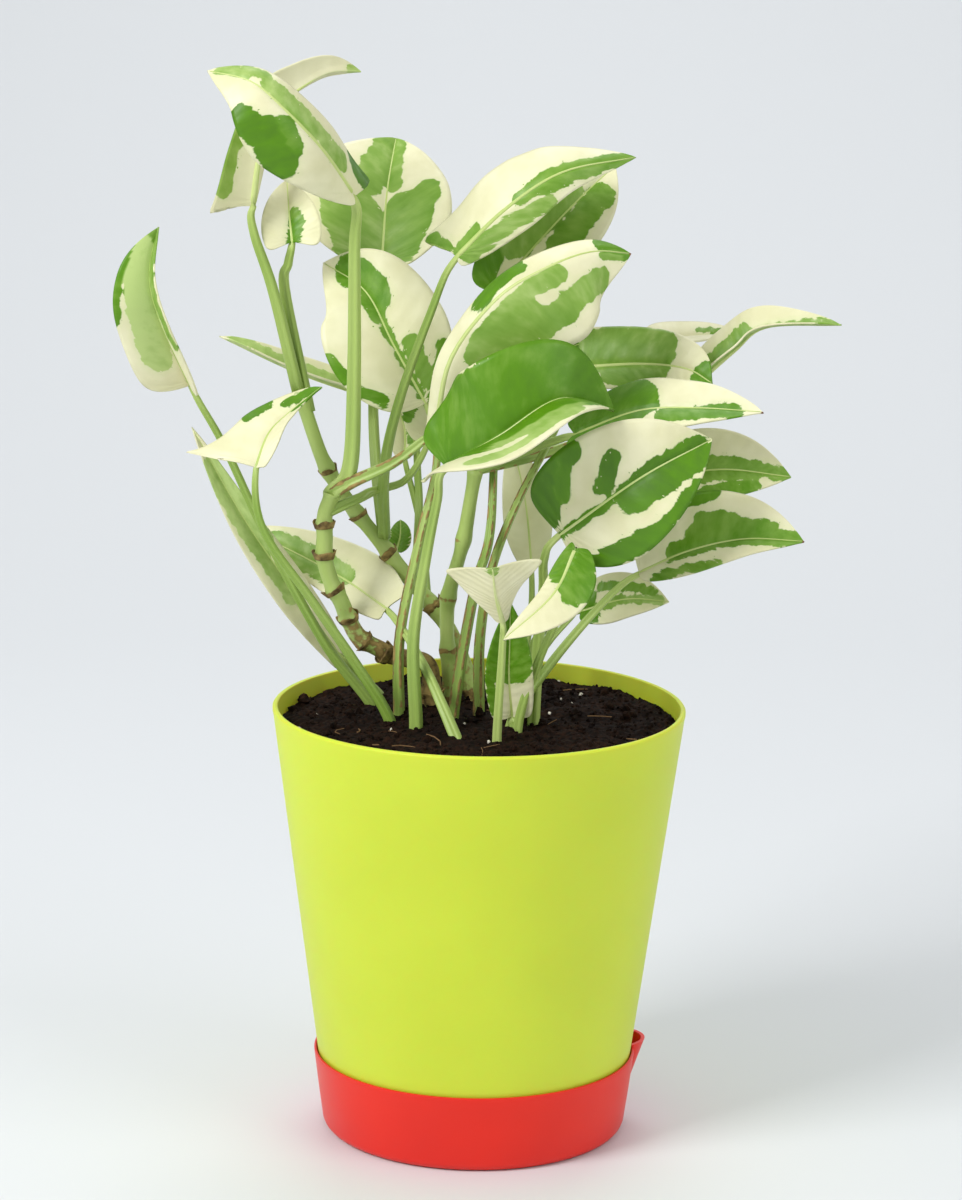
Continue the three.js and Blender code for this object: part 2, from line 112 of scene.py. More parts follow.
# Saucer: a deep round dish of glossy red plastic, moulded in one piece. Its thin wall grips the
# lowest part of the pot, and a small funnel on one side lets water be poured in behind the pot.
POT_BASE_R = 0.0423
POT_RIM_R = 0.057
POT_BASE_Z = 0.010
POT_RIM_Z = 0.1207
CLEAR = 0.0003
SAUCER_TOP = 0.0222
LIP_ANGLE = math.radians(10)
LIP_OUT = 0.0400
ROUND_SIDES = 144
LIP_SIDES = 96


def pot_radius(z):
    """Outside radius of the pot at a height, which the saucer's wall follows."""
    return POT_BASE_R + (POT_RIM_R - POT_BASE_R) * (z - POT_BASE_Z) / (POT_RIM_Z - POT_BASE_Z)


def turned(name, steps):
    """A closed round shape, drawn out ring by ring: steps are (radius, height), from bottom middle."""
    bpy.ops.object.select_all(action="DESELECT")
    radius, height = steps[0]
    bpy.ops.mesh.primitive_circle_add(
        vertices=ROUND_SIDES, radius=radius, fill_type="NOTHING", location=(0, 0, height))
    piece = bpy.context.object
    piece.name = name
    bpy.ops.object.transform_apply(location=True)
    bpy.ops.object.mode_set(mode="EDIT")
    bpy.ops.mesh.select_all(action="SELECT")
    for (was_r, was_z), (r, z) in zip(steps, steps[1:]):
        bpy.ops.mesh.extrude_region_move(TRANSFORM_OT_translate={"value": (0, 0, z - was_z)})
        bpy.ops.transform.resize(value=(r / was_r, r / was_r, 1), center_override=(0, 0, z))
    bpy.ops.mesh.select_all(action="SELECT")
    bpy.ops.mesh.fill_holes(sides=0)
    bpy.ops.mesh.normals_make_consistent(inside=False)
    bpy.ops.object.mode_set(mode="OBJECT")
    return piece


def cut_with(piece, tool, how):
    """Joins the tool to the piece, or cuts it away, and throws the tool out."""
    boolean = piece.modifiers.new("cut", "BOOLEAN")
    boolean.operation = how
    boolean.object = tool
    bpy.ops.object.select_all(action="DESELECT")
    bpy.context.view_layer.objects.active = piece
    bpy.ops.object.modifier_apply(modifier="cut")
    bpy.data.objects.remove(tool)


def settle(piece, node):
    """The finished piece takes the place of its CAD node and rides with the plant."""
    bpy.ops.object.select_all(action="DESELECT")
    piece.select_set(True)
    bpy.context.view_layer.objects.active = piece
    bpy.ops.object.transform_apply(location=True, rotation=True, scale=True)
    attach(piece, "root")
    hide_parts(node)


def paint(code):
    """Linear colour from the six-figure code on a colour card."""
    parts = [int(code[i:i + 2], 16) / 255 for i in (0, 2, 4)]
    return (*(part / 12.92 if part < 0.04045 else ((part + 0.055) / 1.055) ** 2.4 for part in parts), 1)


def add_node(tree, kind, inputs, **settings):
    """One shader node; an input given as another node's output is linked, and any other is set."""
    made = tree.nodes.new(kind)
    for key, value in settings.items():
        setattr(made, key, value)
    for key, value in inputs.items():
        if isinstance(value, bpy.types.NodeSocket):
            tree.links.new(value, made.inputs[key])
        else:
            made.inputs[key].default_value = value
    return made.outputs


def finish_of(name, roughness, **settings):
    """A new material, with its node tree and its surface shader."""
    material = bpy.data.materials.new(name)
    material.use_nodes = True
    shader = material.node_tree.nodes["Principled BSDF"]
    shader.inputs["Roughness"].default_value = roughness
    for key, value in settings.items():
        shader.inputs[key.replace("_", " ")].default_value = value
    return material, material.node_tree, shader


def blend_of(tree, amount, first, second):
    """One colour fading into another as the amount goes from 0 to 1."""
    return add_node(tree, "ShaderNodeMix", {0: amount, 6: first, 7: second}, data_type="RGBA")[2]


def spread(tree, value, low, high, to_low=0.0, to_high=1.0):
    """A value between low and high, stretched to run between two other numbers."""
    ends = {"Value": value, "From Min": low, "From Max": high, "To Min": to_low, "To Max": to_high}
    return add_node(tree, "ShaderNodeMapRange", ends)["Result"]


def noise_of(tree, vector, scale, detail):
    """Soft uneven noise, from 0 to 1."""
    grain = {"Vector": vector, "Scale": scale, "Detail": detail}
    return add_node(tree, "ShaderNodeTexNoise", grain)["Fac"]


def moulded_plastic(name, colour, deep, roughness, blotch, seep):
    """Smooth moulded plastic: slightly uneven colour and a faint skin like that of the mould."""
    material, tree, shader = finish_of(
        name, roughness, Specular_IOR_Level=0.4, Subsurface_Weight=seep, Subsurface_Scale=0.003)
    place = add_node(tree, "ShaderNodeTexCoord", {})["Object"]
    clouds = noise_of(tree, place, blotch, 3)
    skin = noise_of(tree, place, 1800, 2)
    tint = blend_of(tree, spread(tree, clouds, 0.3, 0.7), paint(deep), paint(colour))
    gloss = spread(tree, clouds, 0.3, 0.7, roughness - 0.04, roughness + 0.05)
    bump = add_node(tree, "ShaderNodeBump", {"Height": skin, "Strength": 0.08, "Distance": 0.0001})
    tree.links.new(tint, shader.inputs["Base Color"])
    tree.links.new(gloss, shader.inputs["Roughness"])
    tree.links.new(bump["Normal"], shader.inputs["Normal"])
    return material


saucer = turned("saucer_shell", [
    (0.0395, 0), (0.0404, 0.00012), (0.0413, 0.0006), (0.0420, 0.0014), (0.0424, 0.0024),
    (0.0436, 0.0110), (0.0448, 0.0206), (0.04495, 0.0217), (0.0449, 0.0221), (0.0447, SAUCER_TOP),
    (pot_radius(SAUCER_TOP) + 0.0005, SAUCER_TOP), (pot_radius(0.0219) + CLEAR, 0.0219),
    (POT_BASE_R + CLEAR, POT_BASE_Z), (0.0415, 0.0034), (0.0405, 0.0020), (0.0390, 0.0016),
])
lip_x = LIP_OUT * math.cos(LIP_ANGLE)
lip_y = LIP_OUT * math.sin(LIP_ANGLE)

# The lip is a small cone, joined on and then hollowed out by a slightly smaller one.
for how, low, high, foot, mouth in (
    ("UNION", 0.006, 0.023, 0.003, 0.0088),
    ("DIFFERENCE", 0.008, 0.0231, 0.002, 0.0078),
):
    bpy.ops.object.select_all(action="DESELECT")
    bpy.ops.mesh.primitive_cone_add(
        vertices=LIP_SIDES, radius1=foot, radius2=mouth, depth=high - low,
        location=(lip_x, lip_y, (low + high) / 2))
    cut_with(saucer, bpy.context.object, how)
inner_space = turned("inner_space", [
    (0.0390, 0.0016), (0.0405, 0.0020), (0.0415, 0.0034), (POT_BASE_R + CLEAR, POT_BASE_Z),
    (pot_radius(0.028) + CLEAR, 0.028),
])
cut_with(saucer, inner_space, "DIFFERENCE")
rounding = saucer.modifiers.new("rounding", "BEVEL")
rounding.width = 0.00022
rounding.segments = 2
rounding.limit_method = "ANGLE"
rounding.angle_limit = math.radians(50)
bpy.ops.object.modifier_apply(modifier="rounding")
saucer.select_set(True)
bpy.ops.object.shade_smooth_by_angle(angle=math.radians(35))
saucer.data.materials.append(moulded_plastic("red_plastic", "E62410", "DA2012", 0.4, 22, 0.1))
settle(saucer, "saucer")


# Pot: a thin straight-sided cone of lime green plastic with a rounded rim, moulded in one piece
# with its short feet and drain holes, and pushed down into the saucer.
POT_WALL = 0.0016

pot = turned("pot_shell", [
    (0.0405, 0.0100), (0.0416, 0.0102), (0.0422, 0.0107), (pot_radius(0.0120), 0.0120),
    (pot_radius(0.045), 0.045), (pot_radius(0.085), 0.085), (pot_radius(0.1168), 0.1168),
    (0.0567, 0.1184), (0.05695, 0.1195), (0.05695, 0.1202), (0.0567, 0.12055), (0.05635, 0.1207),
    (0.05585, 0.1207), (0.05555, 0.1205), (0.0554, 0.1200), (pot_radius(0.085) - POT_WALL, 0.085),
    (pot_radius(0.014) - 0.0017, 0.014), (pot_radius(0.012) - 0.0030, 0.0120),
])

# Feet and drain holes: how many, first angle, distance out, radius, depth and height.
for how, count, first, out, radius, depth, height in (
    ("UNION", 4, 45, 0.03, 0.004, 0.009, 0.0064),
    ("DIFFERENCE", 6, 30, 0.017, 0.0035, 0.006, 0.011),
):
    for turn in range(count):
        angle = math.radians(first + 360 // count * turn)
        bpy.ops.object.select_all(action="DESELECT")
        bpy.ops.mesh.primitive_cylinder_add(
            vertices=32, radius=radius, depth=depth,
            location=(out * math.cos(angle), out * math.sin(angle), height))
        cut_with(pot, bpy.context.object, how)
pot.select_set(True)
bpy.ops.object.shade_smooth_by_angle(angle=math.radians(35))
pot.data.materials.append(moulded_plastic("lime_plastic", "CDDD3C", "C4D334", 0.44, 14, 0.35))
settle(pot, "pot")


# Soil: dark moist potting mix that fills the pot to just under the rim, rough with crumbs, a few
# white grains of perlite and dry fibres. One body, with the loose crumbs lying on it.
SOIL_EDGE_Z = 0.1158
SOIL_MIDDLE_Z = 0.1180
SOIL_WAIST_Z = 0.066
SOIL_FOOT_Z = 0.0125
SOIL_GRID = 190
STRAWS = 16
soil_r = pot_radius(SOIL_EDGE_Z) - POT_WALL - CLEAR


def soil_height(x, y):
    """Height of the soil's top: a low mound with clods, lumps and crumbs."""
    part = min(1, math.hypot(x, y) / soil_r)
    mound = SOIL_EDGE_Z + (SOIL_MIDDLE_Z - SOIL_EDGE_Z) * (1 - part ** 2)
    place = Vector((x, y, 0.3)) * 1000
    clods = noise.noise(place / 11) * 0.0011
    lumps = (0.55 - noise.voronoi(place / 4.2)[0][0]) * 0.0016
    crumbs = (0.5 - noise.voronoi(place / 1.7)[0][0]) * 0.0009
    return mound + (clods + lumps + crumbs) * (1 if part < 0.97 else 0.6)


def mark(piece, name, values):
    """Writes one number on each point, for the material to read."""
    attribute = piece.data.attributes.new(name, "FLOAT", "POINT")
    attribute.data.foreach_set("value", values)


def seen(tree, attribute):
    """The number that a mesh holds on each point under this name."""
    return add_node(tree, "ShaderNodeAttribute", {}, attribute_name=attribute)["Fac"]


def scattered(reach):
    """A random place on the soil, at most this part of the way out to the pot."""
    far = soil_r * reach * math.sqrt(shuffle.random())
    angle = shuffle.uniform(0, 2 * math.pi)
    return far * math.cos(angle), far * math.sin(angle)


bpy.ops.object.select_all(action="DESELECT")
bpy.ops.mesh.primitive_grid_add(x_subdivisions=SOIL_GRID, y_subdivisions=SOIL_GRID, size=2)
soil = bpy.context.object
soil.name = "potting_mix"
for vertex in soil.data.vertices:
    x, y = vertex.co.x, vertex.co.y
    flat_x = x * math.sqrt(1 - y * y / 2) * soil_r
    flat_y = y * math.sqrt(1 - x * x / 2) * soil_r
    vertex.co = (flat_x, flat_y, soil_height(flat_x, flat_y))
bpy.ops.object.mode_set(mode="EDIT")
bpy.ops.mesh.select_all(action="SELECT")
bpy.ops.mesh.region_to_loop()
bpy.ops.mesh.extrude_region_move(TRANSFORM_OT_translate={"value": (0, 0, -0.05)})
bpy.ops.transform.resize(value=(0.86, 0.86, 0), center_override=(0, 0, SOIL_WAIST_Z))
bpy.ops.mesh.extrude_region_move(TRANSFORM_OT_translate={"value": (0, 0, SOIL_FOOT_Z - SOIL_WAIST_Z)})
bpy.ops.transform.resize(value=(0.84, 0.84, 1), center_override=(0, 0, SOIL_FOOT_Z))
bpy.ops.mesh.edge_face_add()
bpy.ops.mesh.select_all(action="SELECT")
bpy.ops.mesh.normals_make_consistent(inside=False)
bpy.ops.object.mode_set(mode="OBJECT")
bpy.ops.object.shade_smooth()

# Loose bits on top: how many, their smallest and largest size, and how round they are made.
shuffle = random.Random(7)
loose = []
for kind, count, small, large, faces in (
    ("crumb", 1500, 0.00025, 0.0007, 1),
    ("clod", 110, 0.0008, 0.0016, 2),
    ("perlite", 16, 0.0004, 0.0008, 1),
):
    bpy.ops.object.select_all(action="DESELECT")
    bpy.ops.mesh.primitive_ico_sphere_add(subdivisions=faces, radius=1)
    pattern = bpy.context.object
    for _ in range(count):
        copy = pattern.copy()
        copy.data = pattern.data.copy()
        bpy.context.collection.objects.link(copy)
        x, y = scattered(0.975)
        size = shuffle.uniform(small, large)
        lift = shuffle.uniform(-0.2, 0.5) * size
        shift = Vector((shuffle.uniform(0, 90), shuffle.uniform(0, 90), shuffle.uniform(0, 90)))
        stretch = [shuffle.uniform(0.7, 1.2) for _ in range(3)]
        for vertex in copy.data.vertices:
            rough = size * (1 + 0.55 * noise.noise(vertex.co * 1.3 + shift))
            vertex.co = Vector(a * b for a, b in zip(vertex.co, stretch)) * rough
            vertex.co += Vector((x, y, soil_height(x, y) + lift))
        grain = 1.0 if kind == "perlite" else shuffle.uniform(0, 0.6)
        mark(copy, "grain", [grain] * len(copy.data.vertices))
        loose.append(copy)
    bpy.data.objects.remove(pattern)

for _ in range(STRAWS):
    bpy.ops.object.select_all(action="DESELECT")
    bpy.ops.mesh.primitive_cylinder_add(vertices=5, radius=1, depth=1, end_fill_type="TRIFAN")
    straw = bpy.context.object
    bpy.ops.object.mode_set(mode="EDIT")
    for height in (-0.2, 0.2):
        bpy.ops.mesh.select_all(action="SELECT")
        bpy.ops.mesh.bisect(plane_co=(0, 0, height), plane_no=(0, 0, 1))
    bpy.ops.object.mode_set(mode="OBJECT")
    x, y = scattered(0.85)
    turn, length = shuffle.uniform(0, math.pi), shuffle.uniform(0.003, 0.009)
    bow = shuffle.uniform(-0.002, 0.002)
    thick = shuffle.uniform(0.00008, 0.0002)
    rise = shuffle.uniform(-0.001, 0.0012)
    for vertex in straw.data.vertices:
        along, side = vertex.co.z * length, vertex.co.x * thick + bow * (1 - 4 * vertex.co.z ** 2)
        px = x + along * math.cos(turn) - side * math.sin(turn)
        py = y + along * math.sin(turn) + side * math.cos(turn)
        vertex.co = (px, py, soil_height(x, y) + 0.0006 + vertex.co.y * thick + rise * vertex.co.z * 2)
    mark(straw, "grain", [0.8] * len(straw.data.vertices))
    loose.append(straw)

mark(soil, "grain", [0.0] * len(soil.data.vertices))
bpy.ops.object.select_all(action="DESELECT")
for piece in loose:
    piece.select_set(True)
soil.select_set(True)
bpy.context.view_layer.objects.active = soil
bpy.ops.object.join()

mix, tree, shader = finish_of("moist_potting_mix", 0.9, Specular_IOR_Level=0.1)
place = add_node(tree, "ShaderNodeTexCoord", {})["Object"]
fine = noise_of(tree, place, 900, 6)
broad = noise_of(tree, place, 90, 2)
browns = blend_of(tree, spread(tree, fine, 0.35, 0.72), paint("0D0805"), paint("301D12"))
browns = blend_of(tree, spread(tree, broad, 0.35, 0.65, 0.0, 0.6), browns, paint("080403"))
grain = seen(tree, "grain")
pale = blend_of(tree, spread(tree, grain, 0.86, 0.9), paint("7E6244"), paint("CFC9BA"))
tint = blend_of(tree, spread(tree, grain, 0.66, 0.7), browns, pale)
bump = add_node(tree, "ShaderNodeBump", {"Height": fine, "Strength": 0.7, "Distance": 0.0004})
tree.links.new(tint, shader.inputs["Base Color"])
tree.links.new(bump["Normal"], shader.inputs["Normal"])
soil.data.materials.append(mix)
settle(soil, "soil")


# Creeping stems: three thick round stems that root in the soil, swollen into a ring at each node.
# Papery brown remains of old leaf sheaths still clasp the nodes, and the oldest parts are corky.
TO_FRONT = Vector((0, -1, 0))
STALK_SIDES = 20
STEM_TAPER = 0.15
RINGS_PER_NODE = 14
SOIL_HIDES_Z = 0.12
WELD = 0.000001


class Path:
    """A smooth curve through points given in millimetres, walked from 0 to 1."""

    def __init__(self, points):
        self.points = [Vector(point) / 1000 for point in points]
        self.spans = len(self.points) - 1
        marks = [self.at(i / 200) for i in range(201)]
        self.length = sum((b - a).length for a, b in zip(marks, marks[1:]))

    def at(self, u):
        points, spans = self.points, self.spans
        place = min(max(u, 0), 1) * spans
        i = min(int(place), spans - 1)
        w = place - i
        here, there = points[i], points[i + 1]
        before = points[i - 1] if i else 2 * here - there
        after = points[i + 2] if i + 2 <= spans else 2 * there - here
        leave, arrive = (there - before) / 2, (after - here) / 2
        turn = 2 * (here - there) + leave + arrive
        ease = 3 * (there - here) - 2 * leave - arrive
        return ((turn * w + ease) * w + leave) * w + here

    def frame(self, u, towards):
        """Point, ahead, up (as near as can be to the wanted side) and left, at one part of the way."""
        low = min(max(u - 0.0001, 0), 0.9998)
        ahead = (self.at(low + 0.0002) - self.at(low)).normalized()
        past = min(u, 0) + max(u - 1, 0)
        up = (towards - ahead * towards.dot(ahead)).normalized()
        return self.at(u) + ahead * past * self.length, ahead, up, up.cross(ahead)


def sheet(name, across, along, place):
    """A fine grid laid out by place(a, b), with a across it from -1 to 1 and b along it from 0 to 1."""
    bpy.ops.object.select_all(action="DESELECT")
    bpy.ops.mesh.primitive_grid_add(x_subdivisions=across, y_subdivisions=along, size=2)
    piece = bpy.context.object
    piece.name = name
    piece.data.uv_layers[0].name = "skin"
    grids = [(vertex.co.x, (vertex.co.y + 1) / 2) for vertex in piece.data.vertices]
    for vertex, (a, b) in zip(piece.data.vertices, grids):
        vertex.co = place(a, b)
    return piece, grids


def rod(name, stations):
    """A closed stalk: each station is (middle, up, left, radius), with a radius for every angle."""
    last = len(stations) - 1

    def place(a, b):
        middle, up, left, radius = stations[round(b * last)]
        angle = math.pi * a
        return middle + (up * math.cos(angle) + left * math.sin(angle)) * radius(angle)

    return sheet(name, STALK_SIDES, last, place)


def close_rod(piece):
    """Joins the long edges of a rolled-up sheet and closes its ends."""
    bpy.ops.object.select_all(action="DESELECT")
    piece.select_set(True)
    bpy.context.view_layer.objects.active = piece
    bpy.ops.object.mode_set(mode="EDIT")
    bpy.ops.mesh.select_all(action="SELECT")
    bpy.ops.mesh.remove_doubles(threshold=WELD)
    bpy.ops.mesh.fill_holes(sides=0)
    bpy.ops.mesh.normals_make_consistent(inside=False)
    bpy.ops.object.mode_set(mode="OBJECT")
    bpy.ops.object.shade_smooth()


def sum_of(tree, first, second, how="ADD"):
    """Two values put together, by adding unless another way is named."""
    return add_node(tree, "ShaderNodeMath", {0: first, 1: second}, operation=how)["Value"]


def stalk_skin(name):
    """Fresh green skin with fine lengthwise streaks, going brown and dry where it is marked so."""
    material, tree, shader = finish_of(name, 0.42, Specular_IOR_Level=0.4)
    skin = add_node(tree, "ShaderNodeUVMap", {}, uv_map="skin")["UV"]
    place = add_node(tree, "ShaderNodeTexCoord", {})["Object"]
    stretched = add_node(tree, "ShaderNodeMapping", {"Vector": skin, "Scale": (16, 2.2, 1)})["Vector"]
    streaks = noise_of(tree, stretched, 1, 4)
    blots = noise_of(tree, place, 420, 4)
    tone, brown = seen(tree, "tone"), seen(tree, "brown")
    green = blend_of(tree, spread(tree, tone, 0.0, 1.0), paint("C8D686"), paint("7B9C3A"))
    green = blend_of(tree, spread(tree, tone, -0.4, 0.1, 0.8, 0.0), green, paint("DDDFAC"))
    green = blend_of(tree, spread(tree, streaks, 0.35, 0.7, 0.0, 0.45), green, paint("A4BE5E"))
    worn = sum_of(tree, brown, spread(tree, blots, 0.3, 0.7, -0.28, 0.28))
    dry = blend_of(tree, spread(tree, blots, 0.35, 0.65), paint("54411F"), paint("A38A50"))
    tint = blend_of(tree, spread(tree, worn, 0.38, 0.55), green, dry)
    rough = spread(tree, worn, 0.38, 0.55, 0.42, 0.75)
    relief = sum_of(tree, streaks, blots)
    bump = add_node(tree, "ShaderNodeBump", {"Height": relief, "Strength": 0.3, "Distance": 0.0003})
    tree.links.new(tint, shader.inputs["Base Color"])
    tree.links.new(rough, shader.inputs["Roughness"])
    tree.links.new(bump["Normal"], shader.inputs["Normal"])
    return material


stalk_green = stalk_skin("fresh_stalk")
stem_brown = stalk_skin("old_stem")


def vine(name, path, thick, nodes, bark, husks=True):
    """One stem, with its radius in mm; bark gives how brown it is at each part of the way."""
    curve = Path(path)
    steps = nodes * RINGS_PER_NODE

    def from_node(u):
        return abs((u * nodes + 0.5) % 1 - 0.5)

    stations = []
    for i in range(steps + 1):
        u = i / steps
        middle, _, up, left = curve.frame(u, TO_FRONT)
        ring = 0.94 + 0.22 * math.exp(-(from_node(u) / 0.13) ** 2)
        size = thick / 1000 * ring * (1 - STEM_TAPER * u)

        def radius(angle, size=size, u=u):
            around = Vector((math.cos(angle) * 1.2, math.sin(angle) * 1.2, u * nodes * 2))
            return size * (1 + 0.09 * noise.noise(around))

        stations.append((middle, up, left, radius))
    stem, grids = rod(name + "_skin", stations)
    mark(stem, "tone", [0.45 + 0.4 * noise.noise(Vector((b * 9, a, 3))) for a, b in grids])
    mark(stem, "brown", [bark(b) + 0.5 * math.exp(-(from_node(b) / 0.05) ** 2) for a, b in grids])
    stem.data.materials.append(stem_brown)
    close_rod(stem)
    collars = []
    for k in range(1, nodes):
        u = k / nodes
        middle, ahead, up, left = curve.frame(u, TO_FRONT)
        if middle.z < SOIL_HIDES_Z or not husks:
            continue
        size = thick / 1000 * (1 - STEM_TAPER * u)
        tilt = shuffle.uniform(-0.3, 0.3)
        long = shuffle.uniform(0.0010, 0.0019)

        def place(a, b):
            angle = math.pi * a
            ragged = 0.9 * noise.noise(Vector((math.cos(angle) * 1.6, math.sin(angle) * 1.6, k * 3.1)))
            flare = 1.06 + 0.22 * b + 0.35 * b * ragged
            around = up * math.cos(angle) + left * math.sin(angle)
            lift = (b * (1 + ragged) - 0.5) * long + tilt * math.sin(angle) * size * 0.6
            return middle + around * size * flare + ahead * lift

        collar, grids = sheet("collar", 26, 4, place)
        mark(collar, "tone", [0.4 for _ in grids])
        mark(collar, "brown", [0.9 for _ in grids])
        collar.data.materials.append(stem_brown)
        bpy.ops.object.mode_set(mode="EDIT")
        bpy.ops.mesh.select_all(action="SELECT")
        bpy.ops.mesh.remove_doubles(threshold=WELD)
        bpy.ops.object.mode_set(mode="OBJECT")
        wall = collar.modifiers.new("wall", "SOLIDIFY")
        wall.thickness = 0.00018
        bpy.ops.object.modifier_apply(modifier="wall")
        bpy.ops.object.shade_smooth()
        collars.append(collar)
    for collar in collars:
        collar.select_set(True)
    stem.select_set(True)
    bpy.context.view_layer.objects.active = stem
    if collars:
        bpy.ops.object.join()
    settle(stem, name)


vine("vine_left",
     [(-13, 8, 103), (-13, 8, 115), (-14, 8, 129), (-19, 6, 132), (-25, 6, 133), (-28, 5, 135),
      (-33, 4, 138), (-36, 3, 143), (-38, 2, 148), (-41, 2, 154), (-43, 2, 161), (-43, 2, 167),
      (-43, 2, 173), (-41, 2, 179)],
     2.7, 9, lambda u: 0.75 - 1.6 * max(0, u - 0.30))
vine("vine_back",
     [(-1, 16, 103), (-1, 16, 117), (-9, 19, 138), (-22, 20, 154), (-29, 20, 163), (-37, 20, 173),
      (-44, 18, 185), (-51, 16, 205)],
     2.4, 6, lambda u: 0.55 - 0.9 * u)
vine("vine_middle",
     [(-8, 14, 103), (-8, 14, 119), (-9, 14, 133), (-9, 13, 148), (-5, 10, 165), (-2, 9, 185)],
     2.3, 5, lambda u: 0.5 - 0.7 * u, husks=False)


# Leaves: thin heart-shaped blades, each grown in one piece with its own round, channelled stalk.
# Cream and green lie in ragged patches that follow the veins, and a midrib stands out below.
# Their skin comes first, then how one is made, then the leaves themselves in groups.
BLADE_ROWS = 64
HALF_COLUMNS = 15
BLADE_THICK = 0.00045
GROOVE_DEEP = 0.00035
GROOVE_WIDE = 0.0008
STALK_STEP = 0.0025
STALK_TAPER = 0.62
MIDRIB_RINGS = 24
STALK_FACES = Vector((-0.45, -1, 0))
NOTCH_STEPS = 12
SIDE_STEPS = 60
EDGE_STEPS = 150


def leaf_skin(name, below):
    """Waxy leaf surface: cream, with patches of grey-green to deep green where they are marked."""
    material, tree, shader = finish_of(name, 0.5 if below else 0.36, Specular_IOR_Level=0.32)
    skin = add_node(tree, "ShaderNodeUVMap", {}, uv_map="skin")["UV"]
    place = add_node(tree, "ShaderNodeTexCoord", {})["Object"]

    def along_veins(scale, detail):
        moved = {"Vector": skin, "Location": shift, "Scale": scale}
        return noise_of(tree, add_node(tree, "ShaderNodeMapping", moved)["Vector"], 1, detail)

    shift = add_node(tree, "ShaderNodeCombineXYZ", {"Z": seen(tree, "seed")})["Vector"]
    ragged = along_veins((5, 22, 1), 3)
    flecks = along_veins((22, 90, 1), 2)
    soft = noise_of(tree, place, 95, 3)
    patch = sum_of(tree, seen(tree, "patch"), spread(tree, ragged, 0.25, 0.75, -0.85, 0.85))
    patch = sum_of(tree, patch, spread(tree, flecks, 0.7, 0.76, 0.0, 1.3))
    patch = sum_of(tree, patch, spread(tree, flecks, 0.24, 0.3, -1.3, 0.0))
    mask = spread(tree, patch, -0.12, 0.16)
    depth = sum_of(tree, seen(tree, "tone"), spread(tree, ragged, 0.3, 0.7, -0.13, 0.13))
    depth = sum_of(tree, depth, spread(tree, soft, 0.3, 0.7, -0.12, 0.12))
    if below:
        cream = blend_of(tree, spread(tree, soft, 0.35, 0.65), paint("D2CFA6"), paint("DEDBB6"))
        pale, middle, deep = paint("BCCB84"), paint("94AE54"), paint("71972A")
    else:
        cream = blend_of(tree, spread(tree, soft, 0.35, 0.65), paint("D8D5AA"), paint("E4E1BC"))
        pale, middle, deep = paint("B4C97C"), paint("80A443"), paint("568809")
    green = blend_of(tree, spread(tree, depth, 0.2, 0.6), pale, middle)
    green = blend_of(tree, spread(tree, depth, 0.6, 1.0), green, deep)
    # Past full depth the green runs on to a darkest green: partly the leaf's own dark patches, partly
    # painted shade for leaves that lie in shade, such as leaf_15.
    green = blend_of(tree, spread(tree, depth, 1.0, 1.5), green, paint("456F12"))
    tint = blend_of(tree, mask, cream, green)
    halo = spread(tree, patch, -1.6, -0.1, 0.0, 0.22)
    off_green = sum_of(tree, 1.0, mask, "SUBTRACT")
    tint = blend_of(tree, sum_of(tree, halo, off_green, "MULTIPLY"), tint, paint("C2D38E"))
    midrib = spread(tree, seen(tree, "off_rib"), 0.1, 0.36, 0.32, 0.0)
    tint = blend_of(tree, midrib, tint, paint("C9DA98"))
    dry = sum_of(tree, seen(tree, "brown"), spread(tree, flecks, 0.3, 0.7, -0.2, 0.2))
    tint = blend_of(tree, spread(tree, dry, 0.45, 0.6), tint, paint("7A5230"))
    veins = add_node(tree, "ShaderNodeTexWave", {
        "Vector": skin, "Scale": 4.6, "Distortion": 1.2, "Detail": 2, "Detail Scale": 1.5},
        wave_type="BANDS", bands_direction="Y", wave_profile="SIN")["Fac"]
    pores = noise_of(tree, place, 1500, 2)
    relief = sum_of(tree, sum_of(tree, veins, 0.5, "MULTIPLY"), sum_of(tree, pores, 0.25, "MULTIPLY"))
    relief = sum_of(tree, relief, sum_of(tree, ragged, 0.5, "MULTIPLY"))
    bump = add_node(tree, "ShaderNodeBump", {"Height": relief, "Strength": 0.28, "Distance": 0.0004})
    wax = spread(tree, ragged, 0.3, 0.7, 0.46 if below else 0.36, 0.6 if below else 0.5)
    tree.links.new(tint, shader.inputs["Base Color"])
    tree.links.new(wax, shader.inputs["Roughness"])
    tree.links.new(bump["Normal"], shader.inputs["Normal"])
    return material


upper_side = leaf_skin("leaf_upper_side", False)
under_side = leaf_skin("leaf_under_side", True)


def half_width(t, base, widest, flare):
    """Width of half a blade, as a part of its greatest, from the stalk (0) to the tip (1)."""
    if t < widest and flare:
        return base + (1 - base) * (t / widest) ** flare
    if t < widest:
        return 1 - (1 - base) * ((widest - t) / widest) ** 2
    rest = (t - widest) / (1 - widest)
    return (1 - rest) ** 0.92 * (1 + 0.88 * rest)


def evenly(line, count):
    """The same line, as evenly spaced points."""
    lengths = [0]
    for (ax, ay), (bx, by) in zip(line, line[1:]):
        lengths.append(lengths[-1] + math.hypot(bx - ax, by - ay))
    points, j = [], 0
    for i in range(count + 1):
        goal = lengths[-1] * i / count
        while j < len(lengths) - 2 and lengths[j + 1] < goal:
            j += 1
        w = (goal - lengths[j]) / max(lengths[j + 1] - lengths[j], 1e-9)
        (ax, ay), (bx, by) = line[j], line[j + 1]
        points.append((ax + (bx - ax) * w, ay + (by - ay) * w))
    return points, lengths[-1]


